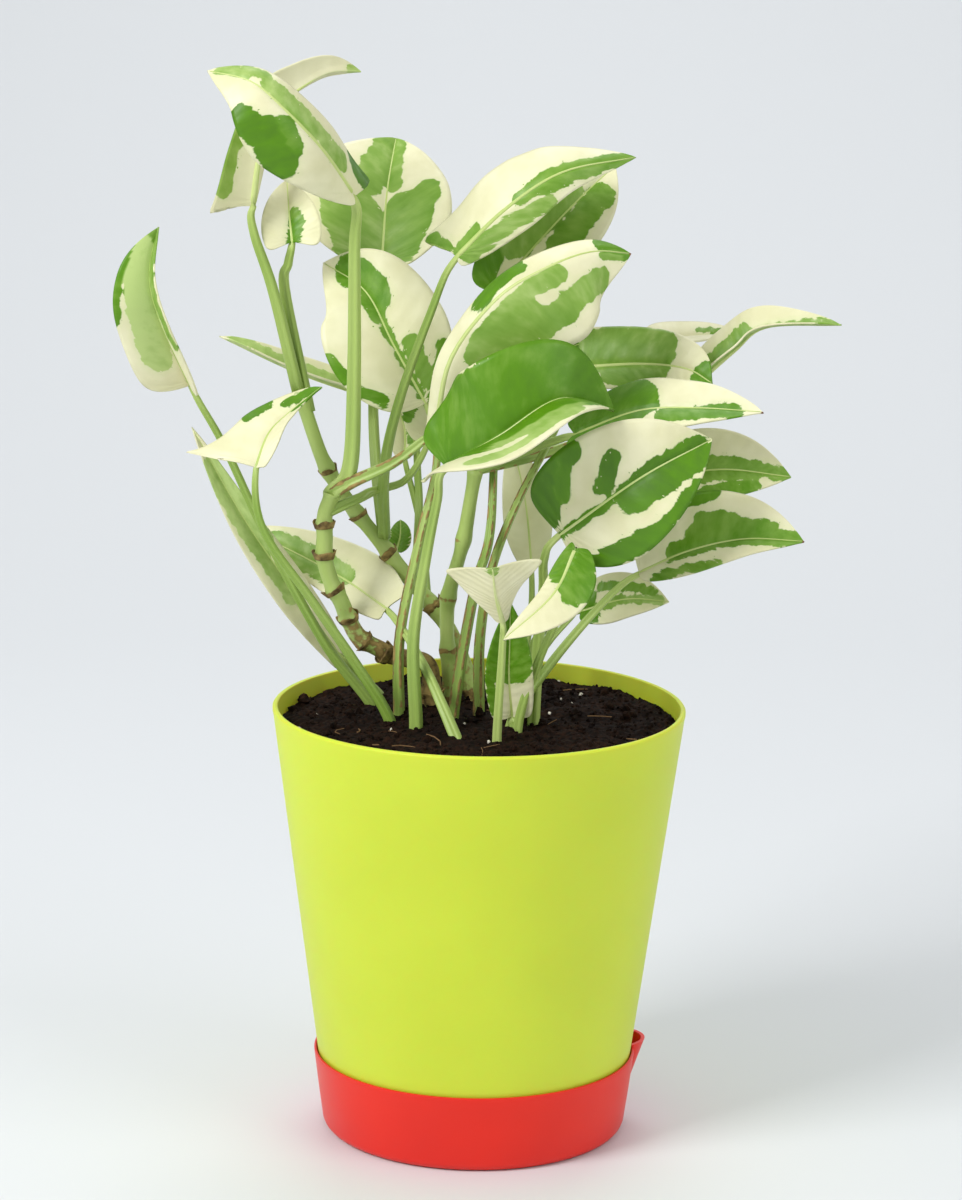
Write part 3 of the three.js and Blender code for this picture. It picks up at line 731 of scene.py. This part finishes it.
def edge_of(length, half, base, lobe, widest, round_off, flare):
    """Edge of half a blade laid flat, from the notch at the stalk round the lobe to the tip."""
    line = []
    for i in range(NOTCH_STEPS + 1):
        line.append((-lobe * (i / NOTCH_STEPS) ** 1.5 * length, half * base * i / NOTCH_STEPS))
    for i in range(1, SIDE_STEPS + 1):
        t = i / SIDE_STEPS
        line.append(((t - lobe * (1 - t) ** 3) * length, half * half_width(t, base, widest, flare)))
    points, total = evenly(line, EDGE_STEPS)
    reach = max(1, round_off * half / (total / EDGE_STEPS))
    span = int(3 * reach)
    weights = [math.exp(-0.5 * (k / reach) ** 2) for k in range(-span, span + 1)]
    softened = []
    for i in range(EDGE_STEPS + 1):
        x = y = 0
        for k, weight in zip(range(i - span, i + span + 1), weights):
            end = 0 if k < 0 else EDGE_STEPS
            past = k < 0 or k > EDGE_STEPS
            px, py = points[min(max(2 * end - k, 0), EDGE_STEPS) if past else k]
            if past:
                px, py = 2 * points[end][0] - px, 2 * points[end][1] - py
            x += px * weight
            y += py * weight
        softened.append((x / sum(weights), y / sum(weights)))
    return softened


def leaf(name, stalk, rib, halves, face, fold, patches, thick=1.7, base=(0.4, 0.4), lobe=(0.06, 0.06),
         widest=0.36, round_off=0.22, flare=0, dome=0.05, green=0.7, husk=0.0, scorch=0.0):
    """One leaf: blade with its upper and lower skins, midrib and stalk, all grown together.

    Places and widths are in millimetres. Pairs are for the left and right half of the blade, face is
    where its upper side looks, and fold lifts each half in degrees. A patch is a stroke of green
    between two places on the blade, each given along it and across it (left is above zero), with
    its half width and how deep the green is; a depth above 1 darkens it further, partly as painted
    shade.
    """
    ribs = Path(rib)
    length = ribs.length
    towards = Vector(face)
    half = [width / 1000 for width in halves]
    bend = [math.radians(angle) for angle in fold]
    edges = []
    for k in (0, 1):
        edge = edge_of(length, half[k], base[k], lobe[k], widest, round_off, flare)
        edges.append(evenly(edge, BLADE_ROWS)[0])
    seed = sum(ord(letter) for letter in name) * 0.731 % 10
    starts, reached = [], 0
    for j in range(BLADE_ROWS + 1):
        wanted = sum(edge[j][0] - 0.5 * edge[j][1] for edge in edges) / 2
        reached = min(max(reached + 0.0015 * length, wanted), length)
        starts.append(reached if j < BLADE_ROWS else length)

    def flat(a, b):
        j = round(b * BLADE_ROWS)
        side = 1 if a > 0 else 0
        away = abs(a) ** 1.2
        x, y = edges[side][max(j, 1)]
        if j == 0:
            notch_x, notch_y = edges[side][0]
            x, y = notch_x * 0.7 + x * 0.3, notch_y * 0.7 + y * 0.3
        return starts[j] + (x - starts[j]) * away, y * away, side

    def place(a, b):
        x, y, side = flat(a, b)
        middle, _, up, left = ribs.frame(x / length, towards)
        part = min(1, y / half[side])
        lift = y * math.sin(bend[side]) + dome * half[side] * 4 * (part - part * part)
        drift = noise.noise(Vector((x * 75, (1 if side else -1) * 4.3 + y * 40, seed)))
        lift += half[side] * 0.10 * part * part * drift
        lift -= GROOVE_DEEP * math.exp(-(y / GROOVE_WIDE) ** 2)
        return middle + left * (y * math.cos(bend[side]) * (-1 if side else 1)) + up * lift

    blade, grids = sheet(name + "_blade", 2 * HALF_COLUMNS, BLADE_ROWS, place)
    strokes = []
    for t0, s0, t1, s1, radius, tone in patches:
        ends = []
        for t, s in ((t0, s0), (t1, s1)):
            side = 0 if s > 0 else 1
            x = (t - lobe[side] * abs(s) ** 1.5 * (1 - t) ** 3) * length
            ends.append((x * 1000, s * halves[side] * half_width(t, base[side], widest, flare)))
        strokes.append((*ends, radius, tone))
    patch, tones, off_rib, brown = [], [], [], []
    for a, b in grids:
        x, y, side = flat(a, b)
        x, y = x * 1000, y * (-1000 if side else 1000)
        nearest, tone = -8, 0.5
        for (ax, ay), (bx, by), radius, shade in strokes:
            dx, dy = bx - ax, by - ay
            w = min(max(((x - ax) * dx + (y - ay) * dy) / max(dx * dx + dy * dy, 1e-6), 0), 1)
            inside = radius - math.hypot(x - ax - dx * w, y - ay - dy * w)
            if inside > nearest:
                nearest, tone = inside, shade
        patch.append(nearest)
        tones.append(tone)
        off_rib.append(abs(y))
        brown.append(min(1, max(0, (x / (length * 1000) - 1 + scorch) / 0.02)) if scorch else 0)
    for label, values in (("patch", patch), ("tone", tones), ("off_rib", off_rib), ("brown", brown)):
        mark(blade, label, values)
    mark(blade, "seed", [seed for _ in grids])
    blade.data.materials.append(upper_side)
    blade.data.materials.append(under_side)
    upper = ribs.frame(0.5, towards)[2]
    if sum(polygon.normal.dot(upper) for polygon in blade.data.polygons) < 0:
        blade.data.flip_normals()
    wall = blade.modifiers.new("wall", "SOLIDIFY")
    wall.thickness = BLADE_THICK
    wall.offset = 0
    wall.material_offset = 1
    wall.material_offset_rim = 0
    bpy.ops.object.modifier_apply(modifier="wall")
    bpy.ops.object.shade_smooth()

    curve = Path([*stalk, rib[0], rib[1]])
    reach = len(stalk) / (len(stalk) + 1)
    hang = ribs.frame(0.02, towards)[2]
    steps = max(20, int(curve.length * reach / STALK_STEP))
    stations, tones, brown = [], [], []

    def channelled(size, deep):
        def radius(angle):
            lips = math.exp(-((abs(angle) - 0.75) / 0.28) ** 2) * 0.22
            return size * (1 + deep * (lips - 0.42 * math.exp(-(angle / 0.42) ** 2)))
        return radius

    for i in range(steps + 1):
        u = reach * i / steps
        middle, _, up, left = curve.frame(u, STALK_FACES)
        size = thick / 1000 * (1 - STALK_TAPER * u)
        sink = max(0, (i / steps - 0.9) / 0.1) ** 2
        stations.append((middle - hang * (size * 0.9 * sink), up, left, channelled(size, 1 - sink)))
    end = size
    for i in range(1, MIDRIB_RINGS + 1):
        u = (i / MIDRIB_RINGS) ** 1.15 * 0.985
        middle, _, up, left = ribs.frame(u, towards)
        size = end * (1 - u) ** 1.3 * 0.9 + 0.00012
        stations.append((middle - up * (size * 0.75), up, left, channelled(size, 0)))
    rod_piece, grids = rod(name + "_stalk", stations)
    last = len(stations) - 1
    for a, b in grids:
        part = round(b * last) / steps
        uneven = 0.25 * noise.noise(Vector((b * 7, a, seed)))
        tones.append(green + uneven - 3.5 * max(0, min(part, 1.05) - 0.86))
        lip = math.exp(-((abs(a * math.pi) - 0.75) / 0.3) ** 2)
        torn = 0.8 + 0.5 * noise.noise(Vector((b * 17, a * 2, seed)))
        brown.append(husk * lip * max(0, 1 - (part / 0.92) ** 6) * torn)
    mark(rod_piece, "tone", tones)
    mark(rod_piece, "brown", brown)
    rod_piece.data.materials.append(stalk_green)
    close_rod(rod_piece)
    blade.select_set(True)
    bpy.context.view_layer.objects.active = blade
    bpy.ops.object.join()
    settle(blade, name)


# Crown: the topmost leaves, on the longest stalks. The first one arches over to the left with its
# tip drawn out and one lobe curled under; two young pale ones stand close behind it.
leaf("leaf_01",
     [(-41, 2, 179), (-36, 1, 187), (-35, -3, 214), (-35, -8, 247)],
     [(-35, -10, 262), (-43, -20, 275), (-53, -24, 286), (-62, -22, 293), (-74, -14, 295)],
     (15, 8.5), (0.45, -0.75, 0.5), (-30, -12),
     [(0.68, 0.85, 0.52, 0.7, 3.6, 1.2), (0.5, 0.55, 0.36, 0.75, 4.4, 1.15),
      (0.46, 0.28, 0.38, 0.4, 3.2, 0.9), (0.16, -0.3, 0.66, -0.3, 2.5, 0.5),
      (0.8, -0.3, 0.93, -0.45, 2.1, 0.5), (0.7, -0.6, 0.82, -0.6, 1.6, 0.5),
      (0.1, -0.8, 0, -0.75, 4, 1.3), (-0.05, -0.9, 0.05, -1, 3.5, 1.3)],
     thick=2.4, base=(0.05, 1.2), lobe=(0.06, 0.1), widest=0.42, dome=0.12, green=0.55)
leaf("leaf_02",
     [(-51, 16, 205), (-58, 15, 233), (-63, 14, 248)],
     [(-64, 14, 256), (-62, 12, 270), (-58, 14, 282), (-51, 18, 288), (-43, 22, 292),
      (-35, 26, 292)],
     (9, 8), (-0.6, 0.6, 0.5), (30, 30),
     [(0.1, -0.85, 0.45, -0.85, 2.5, 0.8), (0.93, 0, 1, 0, 1.5, 0.6)],
     base=(0.4, 1.4), round_off=0.08)
leaf("leaf_03",
     [(-48, 17, 199), (-55, 20, 232), (-54, 18, 240)],
     [(-53, 17, 246), (-54, 21, 253), (-55, 27, 262)],
     (8.5, 9), (0, -0.9, 0.3), (15, 15),
     [(0, -0.05, 0.35, -0.2, 2.2, 1), (0.3, -0.3, 0.5, -0.2, 1.8, 0.8)],
     base=(0.9, 0.9), lobe=(0.25, 0.25), round_off=0.45)

# Middle of the back: broad upright leaves that face the front, mostly cream between their patches.
# They grow from the back stem and straight from the soil, behind all the others.
leaf("leaf_04",
     [(-27, 20, 163), (-30, 31, 184), (-31, 42, 203), (-29, 41, 223)],
     [(-29, 36, 237), (-28, 48, 256), (-26, 64, 270)],
     (25, 19), (0, -0.9, 0.35), (10, 10),
     [(0.1, 0.35, 0.3, 0.35, 8, 0.6), (0.3, 0.55, 0.5, 0.6, 5, 0.6),
      (0.55, 0.25, 0.88, 0.2, 4.5, 0.6), (0.15, -0.25, 0.35, -0.35, 7, 0.7),
      (0.4, -0.45, 0.5, -0.65, 4, 0.7), (0.55, -0.1, 0.97, -0.1, 2.6, 0.6)],
     lobe=(0, 0), round_off=0.06)
leaf("leaf_05",
     [(-22, 0, 103), (-22, 0, 118), (-22, 0, 140), (-17, 3, 166), (-13, 9, 183), (-13, 13, 193)],
     [(-16, 16, 202), (-25, 17, 218), (-33, 22, 232), (-45, 28, 239)],
     (19, 17), (0, -0.9, 0.3), (10, 10),
     [(0.62, -0.12, 0.82, -0.2, 4.8, 0.9), (0.5, 0.04, 0.62, 0, 2.6, 0.9),
      (0.05, 0, 0.5, 0, 1.3, 0.8), (0.1, -0.35, 0.3, -0.28, 2.6, 0.75),
      (0.3, 0.9, 0.4, 0.95, 1.8, 0.9), (0.12, 0.75, 0.22, 0.85, 1.8, 0.9),
      (0, -0.5, 0.2, -0.8, 2.4, 0.9)],
     lobe=(0, 0), husk=0.9)

# Upper right: long leaves that lean out over one another, each folded along its midrib. The big
# green one in front turns its lower half down and catches most of the light.
leaf("leaf_06",
     [(-27, 18, 164), (-27, 12, 184), (-23, 8, 204), (-15, 4, 228)],
     [(-8, 0, 245), (5, -8, 259), (20, -8, 269), (40, 4, 272)],
     (16, 8), (-0.3, -0.8, 0.5), (-20, -40),
     [(0.42, -0.05, 0.98, 0, 2.6, 0.75), (0.55, -0.1, 0.8, -0.1, 3.4, 0.75),
      (0.05, -0.55, 0.55, -0.8, 2.2, 0.55), (0, 0.3, 0.02, 0.8, 2.5, 0.8),
      (0.02, 0.05, 0.15, 0.1, 2, 0.7)],
     base=(1, 0.4), lobe=(0.2, 0.03), green=0.8)
leaf("leaf_07",
     [(-7, -8, 103), (-7, -8, 120), (-2, -3, 152), (2, 4, 166), (3, 12, 181), (3, 18, 203)],
     [(2, 16, 233), (22, 14, 256), (35, 20, 268)],
     (14, 14), (-0.1, -0.9, 0.3), (10, 10),
     [(0, 0.6, 0.12, 0.75, 4, 1), (0.25, 0.3, 0.6, 0.3, 4.5, 0.6), (0.35, -0.4, 0.75, -0.4, 4, 0.8)],
     husk=0.9, green=0.85)
leaf("leaf_08",
     [(-41, 2, 179), (-35, 0, 183), (-25, -1, 188), (-17, -1, 194)],
     [(-13, -2, 199), (-9, -10, 219), (3, -16, 236), (16, -13, 244), (28, -9, 248), (39, -4, 247)],
     (7, 22), (-0.3, -0.7, 0.5), (-20, -40),
     [(0.34, -0.24, 0.64, -0.14, 2.8, 0.55), (0.28, -0.42, 0.46, -0.5, 5.8, 0.6),
      (0.46, -0.7, 0.86, -0.62, 3.6, 0.6), (0.36, 0.6, 0.52, 0.75, 3, 1.1),
      (0.86, 0.6, 0.97, 0.5, 3, 0.95), (0.85, -0.1, 0.95, -0.2, 1.2, 0.6)],
     thick=2, base=(0.5, 0.45), widest=0.6, husk=1, scorch=0.02)
leaf("leaf_09",
     [(-17, -15, 103), (-17, -15, 119), (-18, -14, 142), (-15, -14, 164), (-12, -16, 181)],
     [(-10, -18, 191), (4, -28, 201), (20, -26, 211), (35, -14, 206)],
     (20, 18), (0, -0.6, 0.8), (40, 25),
     [(0.05, 0.5, 0.8, 0.45, 14, 1), (0.3, -0.3, 0.6, -0.5, 3.2, 0.4),
      (0.5, -0.6, 0.8, -0.5, 2.6, 0.45), (0.3, -0.78, 0.66, -0.8, 2, 0.4),
      (0.7, -0.12, 0.95, -0.2, 1.6, 0.4), (0, -0.2, 0.35, -0.1, 4, 1)],
     thick=2, lobe=(0.1, 0.1), scorch=0.02)

# Right side: leaves at the end of the middle stem, spread out to the right in layers. The one that
# reaches furthest is narrow and nearly flat.
leaf("leaf_10",
     [(-2, 9, 185), (1, 20, 194)],
     [(4, 28, 201), (15, 31, 213), (29, 34, 217)],
     (12, 11), (0, -0.8, 0.6), (10, 10),
     [(0.1, 0, 0.8, 0, 12, 1)],
     thick=1.3)
leaf("leaf_11",
     [(0, 0, 103), (0, 0, 119), (0, 2, 139), (3, 6, 158), (10, 12, 176), (20, 18, 195)],
     [(27, 22, 212), (43, 16, 214), (55, 9, 214), (62, 3, 211)],
     (11, 7), (0, -0.8, 0.6), (12, -20),
     [(0.15, 0.4, 0.4, 0.35, 7, 0.65), (0.2, -0.3, 0.45, -0.3, 4, 0.65),
      (0.86, 0.1, 0.95, 0, 4.5, 1.1)],
     base=(1, 0.5), widest=0.2, husk=1)
leaf("leaf_12",
     [(-2, 9, 185), (21, 25, 188), (44, 25, 197)],
     [(55, 18, 206), (68, 16, 218), (77, 14, 225), (97, 8, 227)],
     (8, 6.5), (-0.3, -0.3, 0.9), (30, 30),
     [(0.1, 0, 0.5, 0.1, 3.5, 0.7), (0.5, -0.3, 1, -0.2, 1.8, 0.6)],
     base=(0.5, 0.5), husk=0.8)
leaf("leaf_13",
     [(-2, 9, 185), (21, 36, 195)],
     [(47, 40, 217), (59, 48, 217), (73, 54, 217)],
     (8, 8), (0, -0.25, 0.95), (12, 12),
     [(0.6, 0.3, 0.9, 0.3, 1.2, 0.8)],
     thick=1.2)
leaf("leaf_14",
     [(-2, 9, 185), (13, 14, 190)],
     [(25, 5, 196), (42, -2, 204), (58, -8, 206), (75, -13, 206)],
     (11, 9.5), (0, -0.6, 0.8), (5, 5),
     [(0, 0.2, 0.28, 0.2, 9, 1), (0, -0.3, 0.25, -0.3, 8, 1), (0.5, -0.4, 0.85, -0.3, 3.2, 0.9)],
     scorch=0.02)

# Front right: the broadest leaf, with a dark lobe and dark patches whose deepest green is partly
# painted shade, and the low leaves beneath it and behind it that reach out over the edge of the pot.
leaf("leaf_15",
     [(15, -8, 103), (15, -8, 117), (16, -8, 141), (17, -12, 156), (17, -18, 166)],
     [(21, -20, 173), (42, -26, 190), (61, -22, 200)],
     (19, 18), (0, -1, 0.2), (8, 8),
     # Depths above 1 on this leaf darken its green as painted shade, for the shade it lies in.
     [(-0.02, 0.6, 0.1, 0.98, 6.4, 1.3), (0.12, 0.95, 0.3, 0.9, 3.6, 1.15),
      (0.14, 0.5, 0.24, 0.85, 3, 1), (0.32, 0.2, 0.44, 0.46, 2.5, 1.3),
      (0.42, -0.18, 0.88, -0.2, 5, 1.25), (0, -0.02, 0.4, -0.05, 1.3, 1),
      (0.1, -0.9, 0.45, -0.92, 3.2, 1.2), (0.5, -0.88, 0.78, -0.92, 1.9, 1.2)],
     thick=1.9, base=(0.75, 0.45), lobe=(0.02, 0.02), widest=0.28, green=0.6)
leaf("leaf_16",
     [(6, 10, 103), (6, 10, 116), (22, 14, 148), (35, 12, 171)],
     [(46, 8, 183), (65, 4, 187), (84, 0, 186)],
     (12, 11), (0.1, -0.8, 0.5), (10, 10),
     [(0.4, 0.15, 0.95, 0.05, 2.2, 0.75), (0.4, -0.2, 0.75, -0.15, 2.5, 0.75),
      (0.3, -0.8, 0.75, -0.75, 2.5, 0.85)])
leaf("leaf_17",
     [(9, -10, 103), (9, -10, 118), (19, -8, 134), (33, -6, 151)],
     [(43, -6, 160), (56, -10, 167), (71, -12, 171), (87, -14, 171)],
     (17, 8), (0, -0.75, 0.65), (5, 10),
     [(0.25, 0.05, 0.97, -0.1, 3, 0.8), (0.4, 0.25, 0.8, 0.2, 3.4, 0.8),
      (0.45, 0.45, 0.6, 0.4, 2.5, 0.8), (0.3, 0.92, 0.5, 0.92, 3, 1),
      (0.1, -0.85, 0.5, -0.95, 1.6, 0.8)],
     lobe=(0, 0), scorch=0.02)
leaf("leaf_18",
     [(13, 8, 103), (13, 8, 118), (17, 9, 133), (25, 11, 143)],
     [(28, 12, 145), (40, 10, 149), (52, 8, 149)],
     (8, 7), (0, -0.8, 0.6), (10, 10),
     [(0, 0.3, 0.12, 0.6, 3, 0.95), (0, -0.4, 0.1, -0.6, 3, 0.95), (0.2, -0.1, 0.9, -0.1, 1.6, 0.5),
      (0.3, 0.55, 0.8, 0.5, 1.4, 0.8)],
     thick=1.1)

# Low front: a young leaf still rolled into a funnel, one that hangs down in front of it, and a
# narrow one close to the soil.
leaf("leaf_19",
     [(5, -28, 103), (5, -28, 120), (6, -29, 143)],
     [(6, -31, 151), (4, -34, 159), (3, -37, 167)],
     (13.5, 14.5), (0, -1, 0.2), (-20, -20),
     [(0.95, 0, 1, 0, 1.5, 0.5)],
     thick=1.4, base=(0.12, 0.12), lobe=(0, 0), widest=0.86, flare=1.3, round_off=0.05, dome=-0.05,
     green=0.4)
leaf("leaf_20",
     [(11, -16, 103), (11, -16, 121), (18, -18, 143), (24, -23, 157)],
     [(25, -28, 171), (19, -36, 160), (6, -42, 149)],
     (9, 4), (0, -0.7, 0.7), (-10, -10),
     [(0, 0.35, 0.35, 0.5, 5, 0.9), (0, -0.2, 0.28, -0.2, 4, 0.9)],
     thick=1.4)
leaf("leaf_21",
     [(10, -14, 103), (10, -14, 117)],
     [(9, -14, 121), (8, -16, 132), (8, -18, 143), (8, -20, 154)],
     (7, 7), (0, -1, 0.2), (20, 20),
     [(0.5, 0, 0.95, 0, 7, 0.95), (0.1, 0.8, 0.4, 0.8, 1.5, 0.9)],
     thick=2, base=(0.8, 0.8), lobe=(0, 0))

# Left side: a tall leaf folded along its midrib, one that leans towards the middle, and narrow
# pale ones below and behind them, all on stalks that rise from the left edge of the soil.
leaf("leaf_22",
     [(-29, 14, 103), (-29, 14, 115), (-43, 14, 134), (-59, 12, 164), (-71, 8, 191)],
     [(-80, 4, 208), (-87, -4, 226), (-90, -6, 239), (-88, -2, 252)],
     (12, 9), (-0.2, -0.9, 0.1), (15, 60),
     [(0.2, 0.36, 0.84, 0.34, 4.4, 0.12), (0.42, 1, 0.85, 1, 1.5, 1),
      (0.3, -0.6, 0.95, -0.5, 3.2, 0.6)],
     base=(1.05, 0.5), lobe=(-0.06, 0.06), widest=0.3, green=0.9, round_off=0.3)
leaf("leaf_23",
     [(-24, -8, 103), (-24, -8, 117), (-34, -8, 134), (-46, -10, 152), (-59, -13, 172)],
     [(-61, -14, 189), (-58, -8, 197), (-53, -4, 202), (-44, 0, 209)],
     (10, 5), (0.05, -0.3, 0.95), (0, 20),
     [(0.73, 0.45, 0.98, 0.2, 1.6, 1.1), (0.74, -0.6, 0.98, -0.3, 1.4, 1.1),
      (0.45, 0.9, 0.62, 0.95, 2.4, 1.1)],
     base=(2.1, 0.6), lobe=(0, 0), round_off=0.08, green=0.95)
leaf("leaf_24",
     [(-4, -26, 113), (-10, -18, 125), (-16, -8, 135)],
     [(-26, 7, 146), (-41, 24, 152), (-67, 38, 162)],
     (7.5, 11), (0, -0.8, 0.6), (8, 8),
     [(0.45, 0, 0.8, 0.1, 4.5, 0.55)],
     base=(0.6, 0.6), green=0.6)
leaf("leaf_25",
     [(-27, 24, 103), (-27, 24, 115), (-33, 24, 122)],
     [(-40, 22, 130), (-53, 19, 149), (-66, 16, 169), (-80, 12, 195)],
     (6.5, 5), (0, -0.9, 0.4), (20, 20),
     [(0.55, 0, 0.85, 0, 4, 0.3), (0.3, 0.3, 0.5, 0.3, 2, 0.3)],
     base=(0.5, 0.5))
leaf("leaf_26",
     [(-18, 20, 151), (-18, 32, 177)],
     [(-23, 32, 199), (-51, 34, 207), (-74, 36, 217)],
     (6, 6), (0, -0.2, 0.9), (30, 30),
     [(0.1, 0, 0.9, 0, 3, 0.3)],
     thick=1.3)

# Back: small pale leaves between the stalks, the last to open. They stand on thin stalks of their
# own, which spring from the stems and from the soil.
leaf("leaf_27",
     [(-15, 20, 147), (-17, 30, 164)],
     [(-22, 32, 184), (-22, 34, 191), (-24, 38, 197)],
     (4.5, 3.5), (0, -0.9, 0.3), (10, 10),
     [(0.2, -0.7, 0.8, -0.7, 1.2, 0.8)],
     thick=1.2)
leaf("leaf_28",
     [(10, 18, 103), (10, 18, 115), (14, 24, 139)],
     [(14, 26, 156), (12, 28, 173), (8, 34, 189)],
     (7, 7), (0, -0.9, 0.3), (10, 10),
     [],
     thick=1.3)
leaf("leaf_29",
     [(-15, 20, 147), (-20, 28, 150)],
     [(-24, 32, 157), (-23, 34, 161), (-23, 38, 165)],
     (3.5, 3.5), (0, -0.8, 0.5), (10, 10),
     [(0.1, 0, 0.9, 0, 3, 0.8)],
     thick=1)
leaf("leaf_30",
     [(-42, 2, 174), (-34, 6, 177), (-29, 14, 178), (-21, 20, 180)],
     [(-15, 26, 190), (-13, 28, 202), (-17, 38, 219)],
     (10, 10), (0, -0.9, 0.3), (10, 10),
     [(0.2, 0.85, 0.8, 0.85, 1.6, 0.8), (0.2, -0.85, 0.6, -0.85, 1.6, 0.8)],
     thick=1.6)
